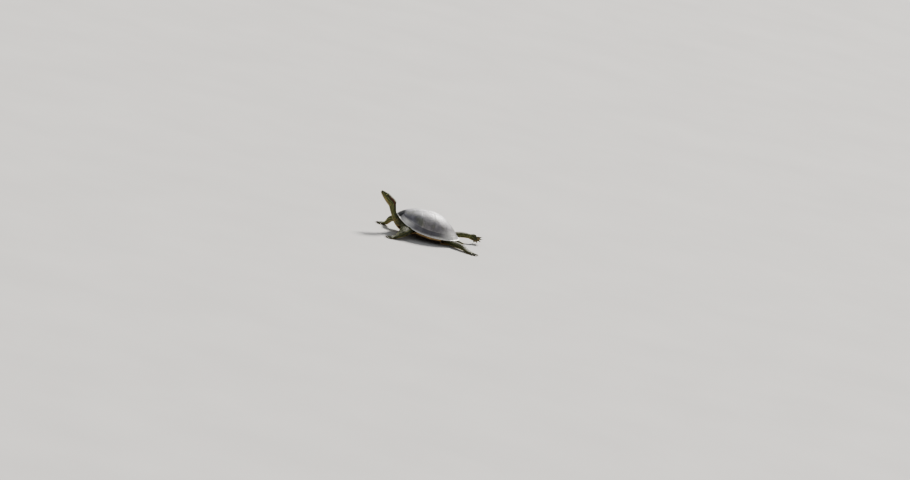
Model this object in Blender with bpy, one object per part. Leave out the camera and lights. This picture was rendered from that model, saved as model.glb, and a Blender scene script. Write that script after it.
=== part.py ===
"""Red-eared slider, an adult turtle at life size, basking with its head raised.

Metres, +Z up. The turtle faces -Y and its left side is +X. The shell is drawn level in its own
frame, with the plastron's underside at z = 0, then pitched nose up and set on the ground. Neck,
head, legs and tail are drawn in the ground frame. The flesh is one closed surface, trimmed clear
of the shell and parted by thin cuts, so that neighbouring pieces meet face to face.
"""

from math import cos, exp, pi, radians, sin, sqrt, tan

import bmesh
import bpy
import numpy as np
from mathutils import Matrix, Vector

# ---- shell, in the shell's own level frame -------------------------------------------------
HALF_LENGTH = 0.100
HALF_WIDTH = 0.078
DOME_TOP = 0.077
RIM_FRONT = 0.0395
RIM_SIDE = 0.0160
RIM_REAR = 0.0260
SHELL_WALL = 0.0034
POLE_RATIO = 0.02
# points round the shell, rings on its outside, rings on its inside
SHELL_STEPS = (54, 10, 5)
RIM_FRONT_POWER = 3.0
RIM_REAR_POWER = 1.3
FLANGE_SLOPE = radians(24)
FLANGE_RISE = 0.0100
FLANGE_BLEND = 0.0030
PLASTRON_FRONT = -0.088
PLASTRON_REAR = 0.088
PLASTRON_WALL = 0.0040
BRIDGE_FRONT = -0.040
BRIDGE_REAR = 0.032
# half width of the plastron's front and rear lobes, at fractions of its length
LOBE_WIDTHS = ((0.0, 0.023), (0.10, 0.037), (0.22, 0.045), (0.5, 0.046), (0.80, 0.046), (0.93, 0.035), (1.0, 0.017))
REAR_FLAT_START = 0.045
GULAR_START = -0.066
GULAR_RISE = 0.0035
BRIDGE_CORNER = 0.013
BRIDGE_BEND = 0.62
PLAN_POWER_ACROSS = 0.92
PLAN_POWER_ALONG = 0.96

# ---- how the shell stands on the ground ----------------------------------------------------
SHELL_PITCH = radians(6.5)
SHELL_LIFT = 0.0051
GAP = 0.0004

# ---- head ----------------------------------------------------------------------------------
HEAD_LENGTH = 0.046
HEAD_PITCH = radians(37.5)
SNOUT_TIP = Vector((0, -0.1500, 0.1115))
EYE_RADIUS = 0.0033
EYE_PLACE = (0.0078, 0.0310, 0.0033)
# swellings of the head on each side: place on the head, then half length, width and height
HEAD_SWELLINGS = {
    "brow": ((0.0068, 0.0290, 0.0064), (0.0052, 0.0026, 0.0027)),
    "cheek": ((0.0098, 0.0090, -0.0020), (0.0090, 0.0048, 0.0080)),
    "nostril": ((0.0020, 0.0428, 0.0012), (0.0030, 0.0022, 0.0026)),
}
HEAD_CUT = -0.0010
# distance from the back of the head, half width, height above and depth below the head's axis
HEAD_SECTIONS = (
    (-0.0080, 0.0102, 0.0098, 0.0110),
    (0.0000, 0.0125, 0.0118, 0.0132),
    (0.0080, 0.0144, 0.0122, 0.0130),
    (0.0160, 0.0145, 0.0116, 0.0122),
    (0.0240, 0.0130, 0.0111, 0.0110),
    (0.0310, 0.0106, 0.0098, 0.0098),
    (0.0370, 0.0082, 0.0075, 0.0086),
    (0.0420, 0.0060, 0.0050, 0.0071),
    (0.0450, 0.0044, 0.0034, 0.0056),
)

# ---- limbs: centre line, half width and half thickness, from inside the body outwards -------
NECK = (
    (0, -0.050, 0.034, 0.0165, 0.0120),
    (0, -0.078, 0.0365, 0.0160, 0.0130),
    (0, -0.0935, 0.0440, 0.0135, 0.0108),
    (0, -0.1025, 0.0555, 0.0114, 0.0082),
    (0, -0.1083, 0.0690, 0.0116, 0.0096),
    (0, -0.1135, 0.0838, 0.0124, 0.0115),
)
# the fold of skin at the foot of the neck: centre and half axes
COLLAR = ((0, -0.0780, 0.0330), ((0.0345, 0, 0), (0, 0.0190, 0), (0, 0, 0.0130)))
TAIL = (
    (0, 0.062, 0.0115, 0.0100, 0.0068),
    (0, 0.086, 0.0108, 0.0075, 0.0056),
    (0, 0.101, 0.0088, 0.0048, 0.0040),
    (0, 0.112, 0.0066, 0.0028, 0.0026),
    (0, 0.121, 0.0052, 0.0014, 0.0014),
)
FRONT_LEG_LEFT = (
    (0.028, -0.048, 0.0265, 0.0165, 0.0095),
    (0.050, -0.063, 0.0250, 0.0175, 0.0108),
    (0.067, -0.072, 0.0225, 0.0170, 0.0118),
    (0.080, -0.079, 0.0185, 0.0138, 0.0106),
    (0.0895, -0.0885, 0.0132, 0.0106, 0.0082),
    (0.0965, -0.0985, 0.0084, 0.0088, 0.0060),
)
FRONT_LEG_RIGHT = (
    (-0.028, -0.048, 0.0265, 0.0160, 0.0095),
    (-0.047, -0.064, 0.0275, 0.0165, 0.0100),
    (-0.0575, -0.080, 0.0290, 0.0130, 0.0094),
    (-0.0640, -0.091, 0.0255, 0.0104, 0.0086),
    (-0.0710, -0.0960, 0.0170, 0.0086, 0.0070),
    (-0.0775, -0.0993, 0.0090, 0.0080, 0.0056),
)
HIND_LEG_LEFT = (
    (0.026, 0.048, 0.0130, 0.0130, 0.0072),
    (0.043, 0.066, 0.0112, 0.0135, 0.0070),
    (0.061, 0.083, 0.0104, 0.0125, 0.0084),
    (0.076, 0.096, 0.0100, 0.0100, 0.0080),
    (0.087, 0.104, 0.0082, 0.0088, 0.0066),
    (0.095, 0.109, 0.0060, 0.0090, 0.0052),
)
HIND_LEG_RIGHT = (
    (-0.026, 0.048, 0.0130, 0.0130, 0.0070),
    (-0.039, 0.070, 0.0128, 0.0125, 0.0074),
    (-0.046, 0.092, 0.0160, 0.0110, 0.0080),
    (-0.048, 0.110, 0.0200, 0.0092, 0.0082),
    (-0.050, 0.128, 0.0215, 0.0074, 0.0080),
    (-0.052, 0.143, 0.0205, 0.0058, 0.0074),
)

# ---- feet: toe angle from straight ahead (degrees), toe length, claw length ------------------
FRONT_TOES = (
    (-50, 0.0100, 0.0058),
    (-26, 0.0130, 0.0070),
    (-2, 0.0140, 0.0076),
    (22, 0.0130, 0.0070),
    (46, 0.0100, 0.0058),
)
HIND_TOES = (
    (-34, 0.0145, 0.0060),
    (-14, 0.0185, 0.0066),
    (6, 0.0195, 0.0066),
    (26, 0.0175, 0.0060),
    (47, 0.0125, 0.0),
)
TOE_RADIUS = 0.0021
TOE_START = 0.0060
TOE_ARCH = 0.0009
CLAW_RADIUS = 0.0011
CLAW_TIP_RADIUS = 0.0003
CLAW_OVERLAP = 0.0012
CLAW_ABOVE_TOE = 0.0003
CLAW_ARCH = 0.60
CLAW_DROOP = 0.06
WEB_HALF_THICKNESS = 0.0007
# how far the web reaches along the toes, and how deeply it is hollowed between them
FRONT_WEB = (0.60, 0.28)
HIND_WEB = (0.97, 0.13)
# palm centre, way the toes point, way the back of the foot faces, palm half width and thickness
FEET = {
    "front_foot_left": (
        (0.1010, -0.1090, 0.0042), (0.30, -0.95, 0), (0, 0, 1), 0.0090, 0.0045, FRONT_WEB, FRONT_TOES
    ),
    "front_foot_right": (
        (-0.0845, -0.1050, 0.0042), (-0.24, -0.97, 0), (0, 0, 1), 0.0090, 0.0045, FRONT_WEB, FRONT_TOES
    ),
    "hind_foot_left": (
        (0.1035, 0.1155, 0.0042), (0.62, 0.78, 0), (0, 0, 1), 0.0100, 0.0046, HIND_WEB, HIND_TOES
    ),
    "hind_foot_right": (
        (-0.0555, 0.1560, 0.0190), (-0.35, 0.90, -0.25), (-0.75, -0.25, 0.60), 0.0098, 0.0044, HIND_WEB, HIND_TOES
    ),
}
PALM_REACH = 0.0075

# ---- flesh surface and the cuts that part it ------------------------------------------------
VOXEL = 0.0007
SMOOTHING_PASSES = 5
FLESH_TRIANGLES = 3300
# flesh this close to the ground is pressed flat on it
SOLE_FLAT = 0.0006
HIDDEN_SHARE_KEPT = 0.4
CUT_WIDTH = 0.0003
TRUNK_RATIO_ENDS = 0.74
TRUNK_RATIO_SIDES = 0.88
MIDLINE = Vector((1, 0, 0))
UP = Vector((0, 0, 1))

COLOURS = {
    "shell": ((0.33, 0.33, 0.31), 0.55),
    "plastron": ((0.52, 0.30, 0.10), 0.50),
    "skin": ((0.10, 0.12, 0.045), 0.60),
    "eye": ((0.30, 0.32, 0.08), 0.10),
}


# ---- shapes shared by every piece ------------------------------------------------------------
def smooth_rows(rows, count):
    """The rows of a table read at even steps along a smooth curve through them."""
    rows = np.array(rows, float)
    padded = np.vstack([2 * rows[0] - rows[1], rows, 2 * rows[-1] - rows[-2]])
    result = []
    for step in np.linspace(0, len(rows) - 1, count):
        start = min(int(step), len(rows) - 2)
        t = step - start
        a, b, c, d = padded[start : start + 4]
        cubic = 3 * b - a - 3 * c + d
        square = 2 * a - 5 * b + 4 * c - d
        result.append(b + 0.5 * ((c - a) * t + square * t**2 + cubic * t**3))
    return np.array(result)


def ring(centre, side, top, bottom, count):
    """Points of a slightly squared oval; side, top and bottom are its half axes as vectors."""
    points = []
    for i in range(count):
        angle = 2 * pi * i / count
        across = np.sign(cos(angle)) * abs(cos(angle)) ** 0.92
        height = abs(sin(angle)) ** 0.92
        points.append(centre + side * across + (top if sin(angle) >= 0 else bottom) * height)
    return points


def add_loft(bm, rings):
    """A closed body through rings with equal numbers of points."""
    rows = [[bm.verts.new(point) for point in points] for points in rings]
    faces = [bm.faces.new(rows[0]), bm.faces.new(rows[-1])]
    for near, far in zip(rows, rows[1:]):
        for i in range(len(near)):
            j = (i + 1) % len(near)
            faces.append(bm.faces.new((near[i], near[j], far[j], far[i])))
    bmesh.ops.recalc_face_normals(bm, faces=faces)


def add_tube(bm, rows, steps, sides, side=None, round_ends=True):
    """A tube, most often round-ended; each row is a centre, a half width and a half thickness."""
    rows = smooth_rows(rows, steps)
    tangents = np.gradient(rows[:, :3], axis=0)
    rings = []
    for index, (row, tangent) in enumerate(zip(rows, tangents)):
        along = Vector(tangent).normalized()
        across = side or along.cross(UP).normalized()
        height = across.cross(along)
        end = {0: -1, len(rows) - 1: 1}.get(index, 0)
        turns = (0, 35, 62, 82) if end and round_ends else (0,)
        for turn in turns if end > 0 else turns[::-1]:
            centre = Vector(row[:3]) + along * end * row[4] * sin(radians(turn))
            shrink = cos(radians(turn))
            top = height * row[4] * shrink
            rings.append(ring(centre, across * row[3] * shrink, top, -top, sides))
    add_loft(bm, rings)


def add_ellipsoid(bm, centre, axes, sides=20, levels=9):
    """An ellipsoid whose half axes are the three vectors in axes."""
    rings = []
    for level in range(1, levels):
        turn = pi * level / levels
        middle = Vector(centre) - axes[2] * cos(turn)
        top = axes[1] * sin(turn)
        rings.append(ring(middle, axes[0] * sin(turn), top, -top, sides))
    add_loft(bm, rings)


def new_object(name, bm, colour):
    """The bmesh as a named object with its own material."""
    mesh = bpy.data.meshes.new(name)
    bm.to_mesh(mesh)
    bm.free()
    mesh.shade_smooth()
    mesh.set_sharp_from_angle(angle=radians(50))
    obj = bpy.data.objects.new(name, mesh)
    bpy.context.scene.collection.objects.link(obj)
    material = bpy.data.materials.new(name)
    material.use_nodes = True
    shader = material.node_tree.nodes["Principled BSDF"]
    base, roughness = COLOURS[colour]
    shader.inputs["Base Color"].default_value = (*base, 1)
    shader.inputs["Roughness"].default_value = roughness
    mesh.materials.append(material)
    return obj


def helper_object(name, bm):
    """A cutter or other guide, left out of the model."""
    obj = new_object(name, bm, "skin")
    obj.hide_render = True
    obj.display_type = "WIRE"
    return obj


def evaluated_bmesh(obj):
    """The object's mesh after its modifiers, as a bmesh."""
    bm = bmesh.new()
    bm.from_object(obj, bpy.context.evaluated_depsgraph_get())
    return bm


def subtract(obj, cutter):
    modifier = obj.modifiers.new(f"clear_{cutter.name}", "BOOLEAN")
    modifier.operation = "DIFFERENCE"
    modifier.object = cutter


# ---- shell -----------------------------------------------------------------------------------
def on_ground(point):
    """A point of the shell's level frame, in the ground frame."""
    return Matrix.Rotation(-SHELL_PITCH, 4, "X") @ Vector(point) + UP * SHELL_LIFT


def rim_plan(angle, shrink=0.0):
    """The shell's outline seen from above: angle 0 is the front, a quarter turn the left side."""
    across = np.sign(sin(angle)) * abs(sin(angle)) ** PLAN_POWER_ACROSS
    along = -np.sign(cos(angle)) * abs(cos(angle)) ** PLAN_POWER_ALONG
    x = (HALF_WIDTH - shrink) * across * (1 - 0.06 * cos(angle))
    return x, (HALF_LENGTH - shrink) * along


def end_weights(angle):
    """How far an outline angle belongs to the front, the rear and the sides."""
    front = max(cos(angle), 0) ** 2
    rear = max(-cos(angle), 0) ** 2
    return front, rear, 1 - front - rear


def rim_height(angle):
    front = (RIM_FRONT - RIM_SIDE) * max(cos(angle), 0) ** RIM_FRONT_POWER
    rear = (RIM_REAR - RIM_SIDE) * max(-cos(angle), 0) ** RIM_REAR_POWER
    return RIM_SIDE + front + rear


def dome(angle, ratio, shrink=0.0):
    """A point of the carapace, or of a shell nested in it by shrink, from centre 0 to rim 1."""
    front, rear, side = end_weights(angle)
    x, y = rim_plan(angle, shrink)
    rim = rim_height(angle)
    power = 2.0 + 0.2 * side
    steepness = 0.70 * front + 0.92 * rear + 0.60 * side
    inner_ratio = min(ratio * (1.01 + 0.045 * (front + rear)), 1)
    bowl = rim + (DOME_TOP - shrink - rim) * (1 - inner_ratio**power) ** steepness
    inwards = (1 - ratio) * sqrt(x * x + y * y)
    flange = rim + FLANGE_RISE * (1 - exp(-tan(FLANGE_SLOPE) * inwards / FLANGE_RISE))
    blend = sqrt((bowl - flange) ** 2 + FLANGE_BLEND**2)
    height = 0.5 * (bowl + flange + blend) - 0.5 * FLANGE_BLEND
    return x * ratio, y * ratio, height


def carapace_rings(around, outer_rings, inner_rings, grow=0.0):
    """Rings from the middle of the outside, over the lip, to the middle of the inside."""
    angles = [2 * pi * i / around for i in range(around)]
    rings = []
    for step in range(outer_rings + 1):
        ratio = max(1 - (1 - step / outer_rings) ** 1.5, POLE_RATIO)
        rings.append([on_ground(dome(angle, ratio, -grow)) + UP * grow for angle in angles])
    lip = SHELL_WALL / 2 + grow
    for turn in (45, 90, 135):
        points = []
        for angle in angles:
            x, y = rim_plan(angle, SHELL_WALL / 2 - lip * cos(radians(turn)))
            points.append(on_ground((x, y, rim_height(angle) - lip * sin(radians(turn)))))
        rings.append(points)
    for step in range(inner_rings, -1, -1):
        ratio = max(1 - (1 - step / inner_rings) ** 1.5, POLE_RATIO)
        rings.append([on_ground(dome(angle, ratio, SHELL_WALL + grow)) - UP * grow for angle in angles])
    return rings


def bridge_angle(y):
    """The outline angle, on the left side, of the middle of the lip at y."""
    share = min(abs(y) / (HALF_LENGTH - SHELL_WALL / 2), 1)
    return np.arccos(-np.sign(y) * share ** (1 / PLAN_POWER_ALONG))


def smooth_step(low, high, value):
    t = min(max((value - low) / (high - low), 0), 1)
    return t * t * (3 - 2 * t)


def bridge_share(y):
    """1 where the bridge joins plastron to rim, 0 at the lobes."""
    front = smooth_step(BRIDGE_FRONT - BRIDGE_CORNER, BRIDGE_FRONT, y)
    return front * (1 - smooth_step(BRIDGE_REAR, BRIDGE_REAR + BRIDGE_CORNER, y))


def plastron_half_width(y):
    """Half width of the plastron at y: its lobes, and the bridges that reach the rim."""
    table = np.array(LOBE_WIDTHS)
    share = (y - PLASTRON_FRONT) / (PLASTRON_REAR - PLASTRON_FRONT)
    lobe = np.interp(share, table[:, 0], table[:, 1])
    bridge = rim_plan(bridge_angle(y), SHELL_WALL / 2)[0]
    return lobe + (bridge - lobe) * bridge_share(y)


def plastron_under(x, y):
    """Height of the plastron's underside: turned up at both ends and at the bridges."""
    if y > REAR_FLAT_START:
        floor = (y * sin(SHELL_PITCH) - SHELL_LIFT) / cos(SHELL_PITCH)
    else:
        floor = GULAR_RISE * (max(GULAR_START - y, 0) / (GULAR_START - PLASTRON_FRONT)) ** 2
    edge = rim_height(bridge_angle(y)) - SHELL_WALL / 2 - GAP - PLASTRON_WALL
    share = min(abs(x) / plastron_half_width(y), 1)
    rise = smooth_step(BRIDGE_BEND, 2 - BRIDGE_BEND, share) * 2 * edge
    return floor + rise * bridge_share(y)


def plastron_rings(grow=0.0):
    """Cross-sections from front to rear, each round the edge of the plate."""
    edge = 0.985
    crossings = np.linspace(-edge, edge, 11)
    corners = [BRIDGE_FRONT - BRIDGE_CORNER * share for share in (1, 0.75, 0.5, 0.25, 0)]
    corners += [BRIDGE_REAR + BRIDGE_CORNER * share for share in (0, 0.25, 0.5, 0.75, 1)]
    spread = np.linspace(0, 1, 17)
    plain = PLASTRON_FRONT + (PLASTRON_REAR - PLASTRON_FRONT) * spread
    clear = [y for y in plain if min(abs(y - corner) for corner in corners) > 0.003]
    rings = []
    for y in sorted([*clear, *corners, REAR_FLAT_START]):
        half_width = plastron_half_width(y)
        under = [(share * half_width, y, plastron_under(share * half_width, y)) for share in crossings]
        middle = plastron_under(half_width, y) + PLASTRON_WALL / 2
        points = [(x, y, z - grow) for x, y, z in under]
        points.append((half_width + grow, y, middle))
        points += [(x, y, z + PLASTRON_WALL + grow) for x, y, z in under[::-1]]
        points.append((-half_width - grow, y, middle))
        rings.append([on_ground(point) for point in points])
    return rings


def trunk_rings(around=48, steps=9, margin=0.0020):
    """The body inside the shell, from the middle of its back to the middle of its belly."""
    angles = [2 * pi * i / around for i in range(around)]
    columns = []
    ratios = [max(1 - (1 - step / steps) ** 1.5, POLE_RATIO) for step in range(steps + 1)]
    for angle in angles:
        reach = TRUNK_RATIO_ENDS + (TRUNK_RATIO_SIDES - TRUNK_RATIO_ENDS) * sin(angle) ** 4
        back, belly = [], []
        for ratio in ratios:
            x, y, top = dome(angle, ratio * reach, SHELL_WALL + margin)
            back.append((x, y, top))
            belly.append((x, y, plastron_under(x, y) + PLASTRON_WALL + margin))
        middle = (back[-1][2] + belly[-1][2]) / 2
        column = [*back, *belly[::-1]]
        for index, ratio in enumerate([*ratios, *ratios[::-1]]):
            x, y, z = column[index]
            column[index] = on_ground((x, y, middle + (z - middle) * sqrt(1 - 0.98 * ratio**8)))
        columns.append(column)
    return [list(points) for points in zip(*columns)]


# ---- flesh -----------------------------------------------------------------------------------
def head_place(across, forward, above):
    """A point given from the back of the head: across to the left, forward and above its axis."""
    ahead = Vector((0, -cos(HEAD_PITCH), sin(HEAD_PITCH)))
    over = Vector((0, sin(HEAD_PITCH), cos(HEAD_PITCH)))
    return SNOUT_TIP + ahead * (forward - HEAD_LENGTH) + over * above + MIDLINE * across


def head_axes(sizes):
    """Half axes across, above and forward, of these half length, width and height."""
    length, width, height = sizes
    origin = head_place(0, 0, 0)
    ahead = head_place(0, 1, 0) - origin
    over = head_place(0, 0, 1) - origin
    return [MIDLINE * width, over * height, ahead * length]


def head_rings(steps=26, sides=32):
    over = head_place(0, 0, 1) - head_place(0, 0, 0)
    rings = []
    for forward, half_width, above, below in smooth_rows(HEAD_SECTIONS, steps):
        centre = head_place(0, forward, 0)
        rings.append(ring(centre, MIDLINE * half_width, over * above, -over * below, sides))
    return [*rings, *head_tip_rings(rings[-1])]


def head_tip_rings(last):
    """The blunt end of the snout, closed over the last section."""
    middle = sum(last, Vector()) / len(last)
    rings = []
    for turn in (30, 58, 80):
        forward = head_place(0, 0.0022 * sin(radians(turn)), 0) - head_place(0, 0, 0)
        rings.append([middle + forward + (point - middle) * cos(radians(turn)) for point in last])
    return rings


def foot_axes(forward, up):
    """Unit vectors of a foot: the way its middle toe points, its left and the back of the foot."""
    forward = Vector(forward).normalized()
    side = Vector(up).cross(forward).normalized()
    return forward, side, forward.cross(side)


def toe_line(foot, toe):
    """Where a toe starts, the way it points and the back of the foot."""
    centre, forward, up = foot[:3]
    ahead, side, over = foot_axes(forward, up)
    angle = radians(toe[0])
    direction = ahead * cos(angle) + side * sin(angle)
    return Vector(centre) + direction * TOE_START, direction, over


def toe_tip(foot, toe):
    start, direction, over = toe_line(foot, toe)
    return start + direction * toe[1] - over * (foot[4] - TOE_RADIUS)


def add_foot(bm, foot):
    """Toes and web; the palm is the end of the leg's own tube."""
    for toe in foot[6]:
        start, direction, over = toe_line(foot, toe)
        tip = toe_tip(foot, toe)
        middle = start.lerp(tip, 0.5) + over * TOE_ARCH
        rows = [
            (*(Vector(foot[0]) + direction * 0.001), TOE_RADIUS * 1.2, TOE_RADIUS * 1.3),
            (*start, TOE_RADIUS * 1.1, TOE_RADIUS * 1.2),
            (*middle, TOE_RADIUS, TOE_RADIUS),
            (*tip, TOE_RADIUS * 0.85, TOE_RADIUS * 0.9),
        ]
        add_tube(bm, rows, 10, 10, side=over.cross(direction).normalized())
    add_web(bm, foot)


def add_web(bm, foot, steps_between=4, rows=5):
    """A thin fan between the toes, hollowed between their tips."""
    reach, depth = foot[5]
    toes = foot[6]
    tips = []
    for near, far in zip(toes, toes[1:]):
        for step in range(steps_between):
            share = step / steps_between
            angle = near[0] + (far[0] - near[0]) * share
            length = near[1] + (far[1] - near[1]) * share
            tips.append((angle, length, 1 - depth * sin(pi * share)))
    tips.append((toes[-1][0], toes[-1][1], 1))
    rings = []
    for angle, length, hollow in tips:
        start, direction, over = toe_line(foot, (angle, length))
        tip = start + (toe_tip(foot, (angle, length)) - start) * reach * hollow
        base = Vector(foot[0])
        line = [base.lerp(tip, row / (rows - 1)) for row in range(rows)]
        thick = over * WEB_HALF_THICKNESS
        rings.append([*(point + thick for point in line), *(point - thick for point in line[::-1])])
    add_loft(bm, rings)


def add_claws(bm, foot):
    """Curved, pointed claws that grow from the toe tips."""
    for toe in foot[6]:
        if not toe[2]:
            continue
        _, direction, over = toe_line(foot, toe)
        root = toe_tip(foot, toe) - direction * CLAW_OVERLAP + over * CLAW_ABOVE_TOE
        rows = []
        for share in np.linspace(0, 1, 5):
            reach = (toe[2] + CLAW_OVERLAP) * share
            arch = toe[2] * (CLAW_ARCH * share * (1 - share) - CLAW_DROOP * share)
            radius = CLAW_RADIUS + (CLAW_TIP_RADIUS - CLAW_RADIUS) * share**1.3
            rows.append((*(root + direction * reach + over * arch), radius, radius))
        add_tube(bm, rows, 5, 6, over.cross(direction).normalized(), round_ends=False)


def leg_rows(leg, foot):
    """The leg's table with its palm added."""
    centre, forward, up, half_width, half_thickness = foot[:5]
    if abs(Vector(up).z) < 0.5:
        half_width, half_thickness = half_thickness, half_width
    end = Vector(centre) + Vector(forward).normalized() * PALM_REACH
    palm = (*centre, half_width, half_thickness)
    return [*leg, palm, (*end, half_width * 0.86, half_thickness * 0.8)]


LEGS = {
    "front_leg_left": (FRONT_LEG_LEFT, "front_foot_left"),
    "front_leg_right": (FRONT_LEG_RIGHT, "front_foot_right"),
    "hind_leg_left": (HIND_LEG_LEFT, "hind_foot_left"),
    "hind_leg_right": (HIND_LEG_RIGHT, "hind_foot_right"),
}
# where each leg is cut, and where its pieces are told apart, counted in rows of its table
LEG_CUTS = {"front": (1.0, 2.5, 4.9), "hind": (1.0, 2.35, 4.8)}
LEG_PIECES = {"front": (1.8, 3.7), "hind": (1.7, 3.6)}


def raw_flesh():
    """All the flesh as overlapping closed bodies."""
    bm = bmesh.new()
    add_loft(bm, trunk_rings())
    add_tube(bm, NECK, 26, 24, side=MIDLINE)
    add_ellipsoid(bm, COLLAR[0], [Vector(axis) for axis in COLLAR[1]])
    add_loft(bm, head_rings())
    for (across, forward, above), sizes in HEAD_SWELLINGS.values():
        for side in (1, -1):
            add_ellipsoid(bm, head_place(across * side, forward, above), head_axes(sizes))
    add_tube(bm, TAIL, 20, 16, side=MIDLINE)
    for leg, foot_name in LEGS.values():
        foot = FEET[foot_name]
        add_tube(bm, leg_rows(leg, foot), 34, 20)
        add_foot(bm, foot)
    return bm


def one_surface(bm, triangles):
    """The overlapping bodies as one smooth closed surface of about this many triangles."""
    raw = helper_object("raw_flesh", bm)
    remesh = raw.modifiers.new("surface", "REMESH")
    remesh.mode = "VOXEL"
    remesh.voxel_size = VOXEL
    smooth = raw.modifiers.new("blend", "SMOOTH")
    smooth.iterations = SMOOTHING_PASSES
    dense = evaluated_bmesh(raw)
    count = sum(len(face.verts) - 2 for face in dense.faces)
    dense.free()
    decimate = raw.modifiers.new("thin", "DECIMATE")
    decimate.ratio = triangles / count
    surface = evaluated_bmesh(raw)
    for vert in surface.verts:
        if vert.co.z < SOLE_FLAT:
            vert.co.z = 0
    return surface


def add_disc(bm, centre, normal, radius):
    """A cut: a thin round slab across a neck, leg or tail."""
    normal = Vector(normal).normalized()
    across = normal.orthogonal().normalized()
    height = normal.cross(across)
    rings = []
    for end in (-1, 1):
        middle = Vector(centre) + normal * end * CUT_WIDTH / 2
        rings.append(ring(middle, across * radius, height * radius, -height * radius, 24))
    add_loft(bm, rings)


def table_place(rows, place):
    """Centre, direction and half width at a place counted in rows of the table."""
    steps = 100
    fine = smooth_rows(rows, (len(rows) - 1) * steps + 1)
    index = round(place * steps)
    direction = fine[min(index + 1, len(fine) - 1), :3] - fine[max(index - 1, 0), :3]
    return Vector(fine[index, :3]), Vector(direction), fine[index, 3]


def cuts_and_pieces():
    """The cutting discs, and for each piece of flesh a point inside it."""
    bm = bmesh.new()
    add_disc(bm, head_place(0, HEAD_CUT, 0), head_place(0, 1, 0) - head_place(0, 0, 0), 0.019)
    pieces = {"trunk": Vector((0, 0, 0.035)), "head": head_place(0, HEAD_LENGTH / 2, 0)}
    for name, rows, cut, middle, radius in (("neck", NECK, 2.0, 3, 0.021), ("tail", TAIL, 0.75, 2, 0.020)):
        centre, direction, _ = table_place(rows, cut)
        add_disc(bm, centre, direction, radius)
        pieces[name] = table_place(rows, middle)[0]
    for leg_name, (leg, foot_name) in LEGS.items():
        pair, _, side = leg_name.split("_")
        for cut in LEG_CUTS[pair]:
            centre, direction, half_width = table_place(leg, cut)
            add_disc(bm, centre, direction, half_width * 1.25 + 0.003)
        upper, lower = (table_place(leg, place)[0] for place in LEG_PIECES[pair])
        pieces[f"{pair}_upper_leg_{side}"] = upper
        pieces[f"{pair}_lower_leg_{side}"] = lower
        pieces[foot_name] = Vector(FEET[foot_name][0])
    return helper_object("cuts", bm), pieces


def loose_bodies(bm):
    """The connected bodies of a bmesh, as lists of faces."""
    waiting = set(bm.faces)
    bodies = []
    while waiting:
        front = [waiting.pop()]
        body = []
        while front:
            face = front.pop()
            body.append(face)
            for edge in face.edges:
                for other in edge.link_faces:
                    if other in waiting:
                        waiting.remove(other)
                        front.append(other)
        bodies.append(body)
    return bodies


def copy_faces(faces):
    """A new bmesh holding copies of these faces."""
    bm = bmesh.new()
    copies = {}
    for face in faces:
        for vert in face.verts:
            if vert not in copies:
                copies[vert] = bm.verts.new(vert.co)
        bm.faces.new([copies[vert] for vert in face.verts])
    return bm


def shell_object(name, rings, colour=None):
    """A piece of the shell, or with no colour a helper to trim the flesh with."""
    bm = bmesh.new()
    add_loft(bm, rings)
    return new_object(name, bm, colour) if colour else helper_object(name, bm)


def eye_places():
    across, forward, above = EYE_PLACE
    return {
        "eye_left": head_place(across, forward, above),
        "eye_right": head_place(-across, forward, above),
    }


def ball(centre, radius, sides=14, levels=9):
    bm = bmesh.new()
    axes = [Vector((0, radius, 0)), Vector((0, 0, radius)), Vector((radius, 0, 0))]
    add_ellipsoid(bm, centre, axes, sides, levels)
    return bm


def build_flesh():
    """One surface, trimmed clear of shell and eyes, parted into named pieces."""
    flesh = helper_object("flesh", one_surface(raw_flesh(), FLESH_TRIANGLES))
    subtract(flesh, shell_object("carapace_clearance", carapace_rings(*SHELL_STEPS, 2 * GAP)))
    subtract(flesh, shell_object("plastron_clearance", plastron_rings(GAP)))
    for name, centre in eye_places().items():
        subtract(flesh, helper_object(f"socket_{name}", ball(centre, EYE_RADIUS + GAP)))
    cuts, pieces = cuts_and_pieces()
    subtract(flesh, cuts)
    parted = evaluated_bmesh(flesh)
    bodies = loose_bodies(parted)
    for name, inside in pieces.items():
        nearest = min(bodies, key=lambda body: min((face.verts[0].co - inside).length for face in body))
        piece = new_object(name, copy_faces(nearest), "skin")
        if name == "trunk":
            piece.modifiers.new("thin", "DECIMATE").ratio = HIDDEN_SHARE_KEPT
        if name in FEET:
            claws = bmesh.new()
            add_claws(claws, FEET[name])
            join = piece.modifiers.new("claws", "BOOLEAN")
            join.operation = "UNION"
            join.object = helper_object(f"claws_{name}", claws)
    parted.free()


def centre_on_ground():
    """Parents every piece to one empty, which puts the middle of the whole over the origin."""
    pieces = [obj for obj in bpy.context.scene.objects if obj.type == "MESH" and not obj.hide_render]
    corners = []
    for piece in pieces:
        bm = evaluated_bmesh(piece)
        corners += [vert.co.copy() for vert in bm.verts]
        bm.free()
    low = Vector(map(min, zip(*corners)))
    high = Vector(map(max, zip(*corners)))
    turtle = bpy.data.objects.new("turtle", None)
    turtle.location = (-(low.x + high.x) / 2, -(low.y + high.y) / 2, -low.z)
    bpy.context.scene.collection.objects.link(turtle)
    for obj in bpy.context.scene.objects:
        if obj.type == "MESH":
            obj.parent = turtle


def main():
    for obj in list(bpy.data.objects):
        bpy.data.objects.remove(obj, do_unlink=True)
    shell_object("carapace", carapace_rings(*SHELL_STEPS), "shell")
    shell_object("plastron", plastron_rings(), "plastron")
    build_flesh()
    for name, centre in eye_places().items():
        new_object(name, ball(centre, EYE_RADIUS), "eye")
    centre_on_ground()


main()
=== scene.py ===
"""The looks of the red-eared slider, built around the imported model.

Everything is drawn in metres in the turtle's own ground frame (it faces -Y, its left is +X, the
ground is z = 0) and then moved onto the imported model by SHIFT. One skin stands for all the flesh.
Scales, shell plates, eyes and claws are pieces of their own.
"""

from math import cos, pi, radians, sin, tan

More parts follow.
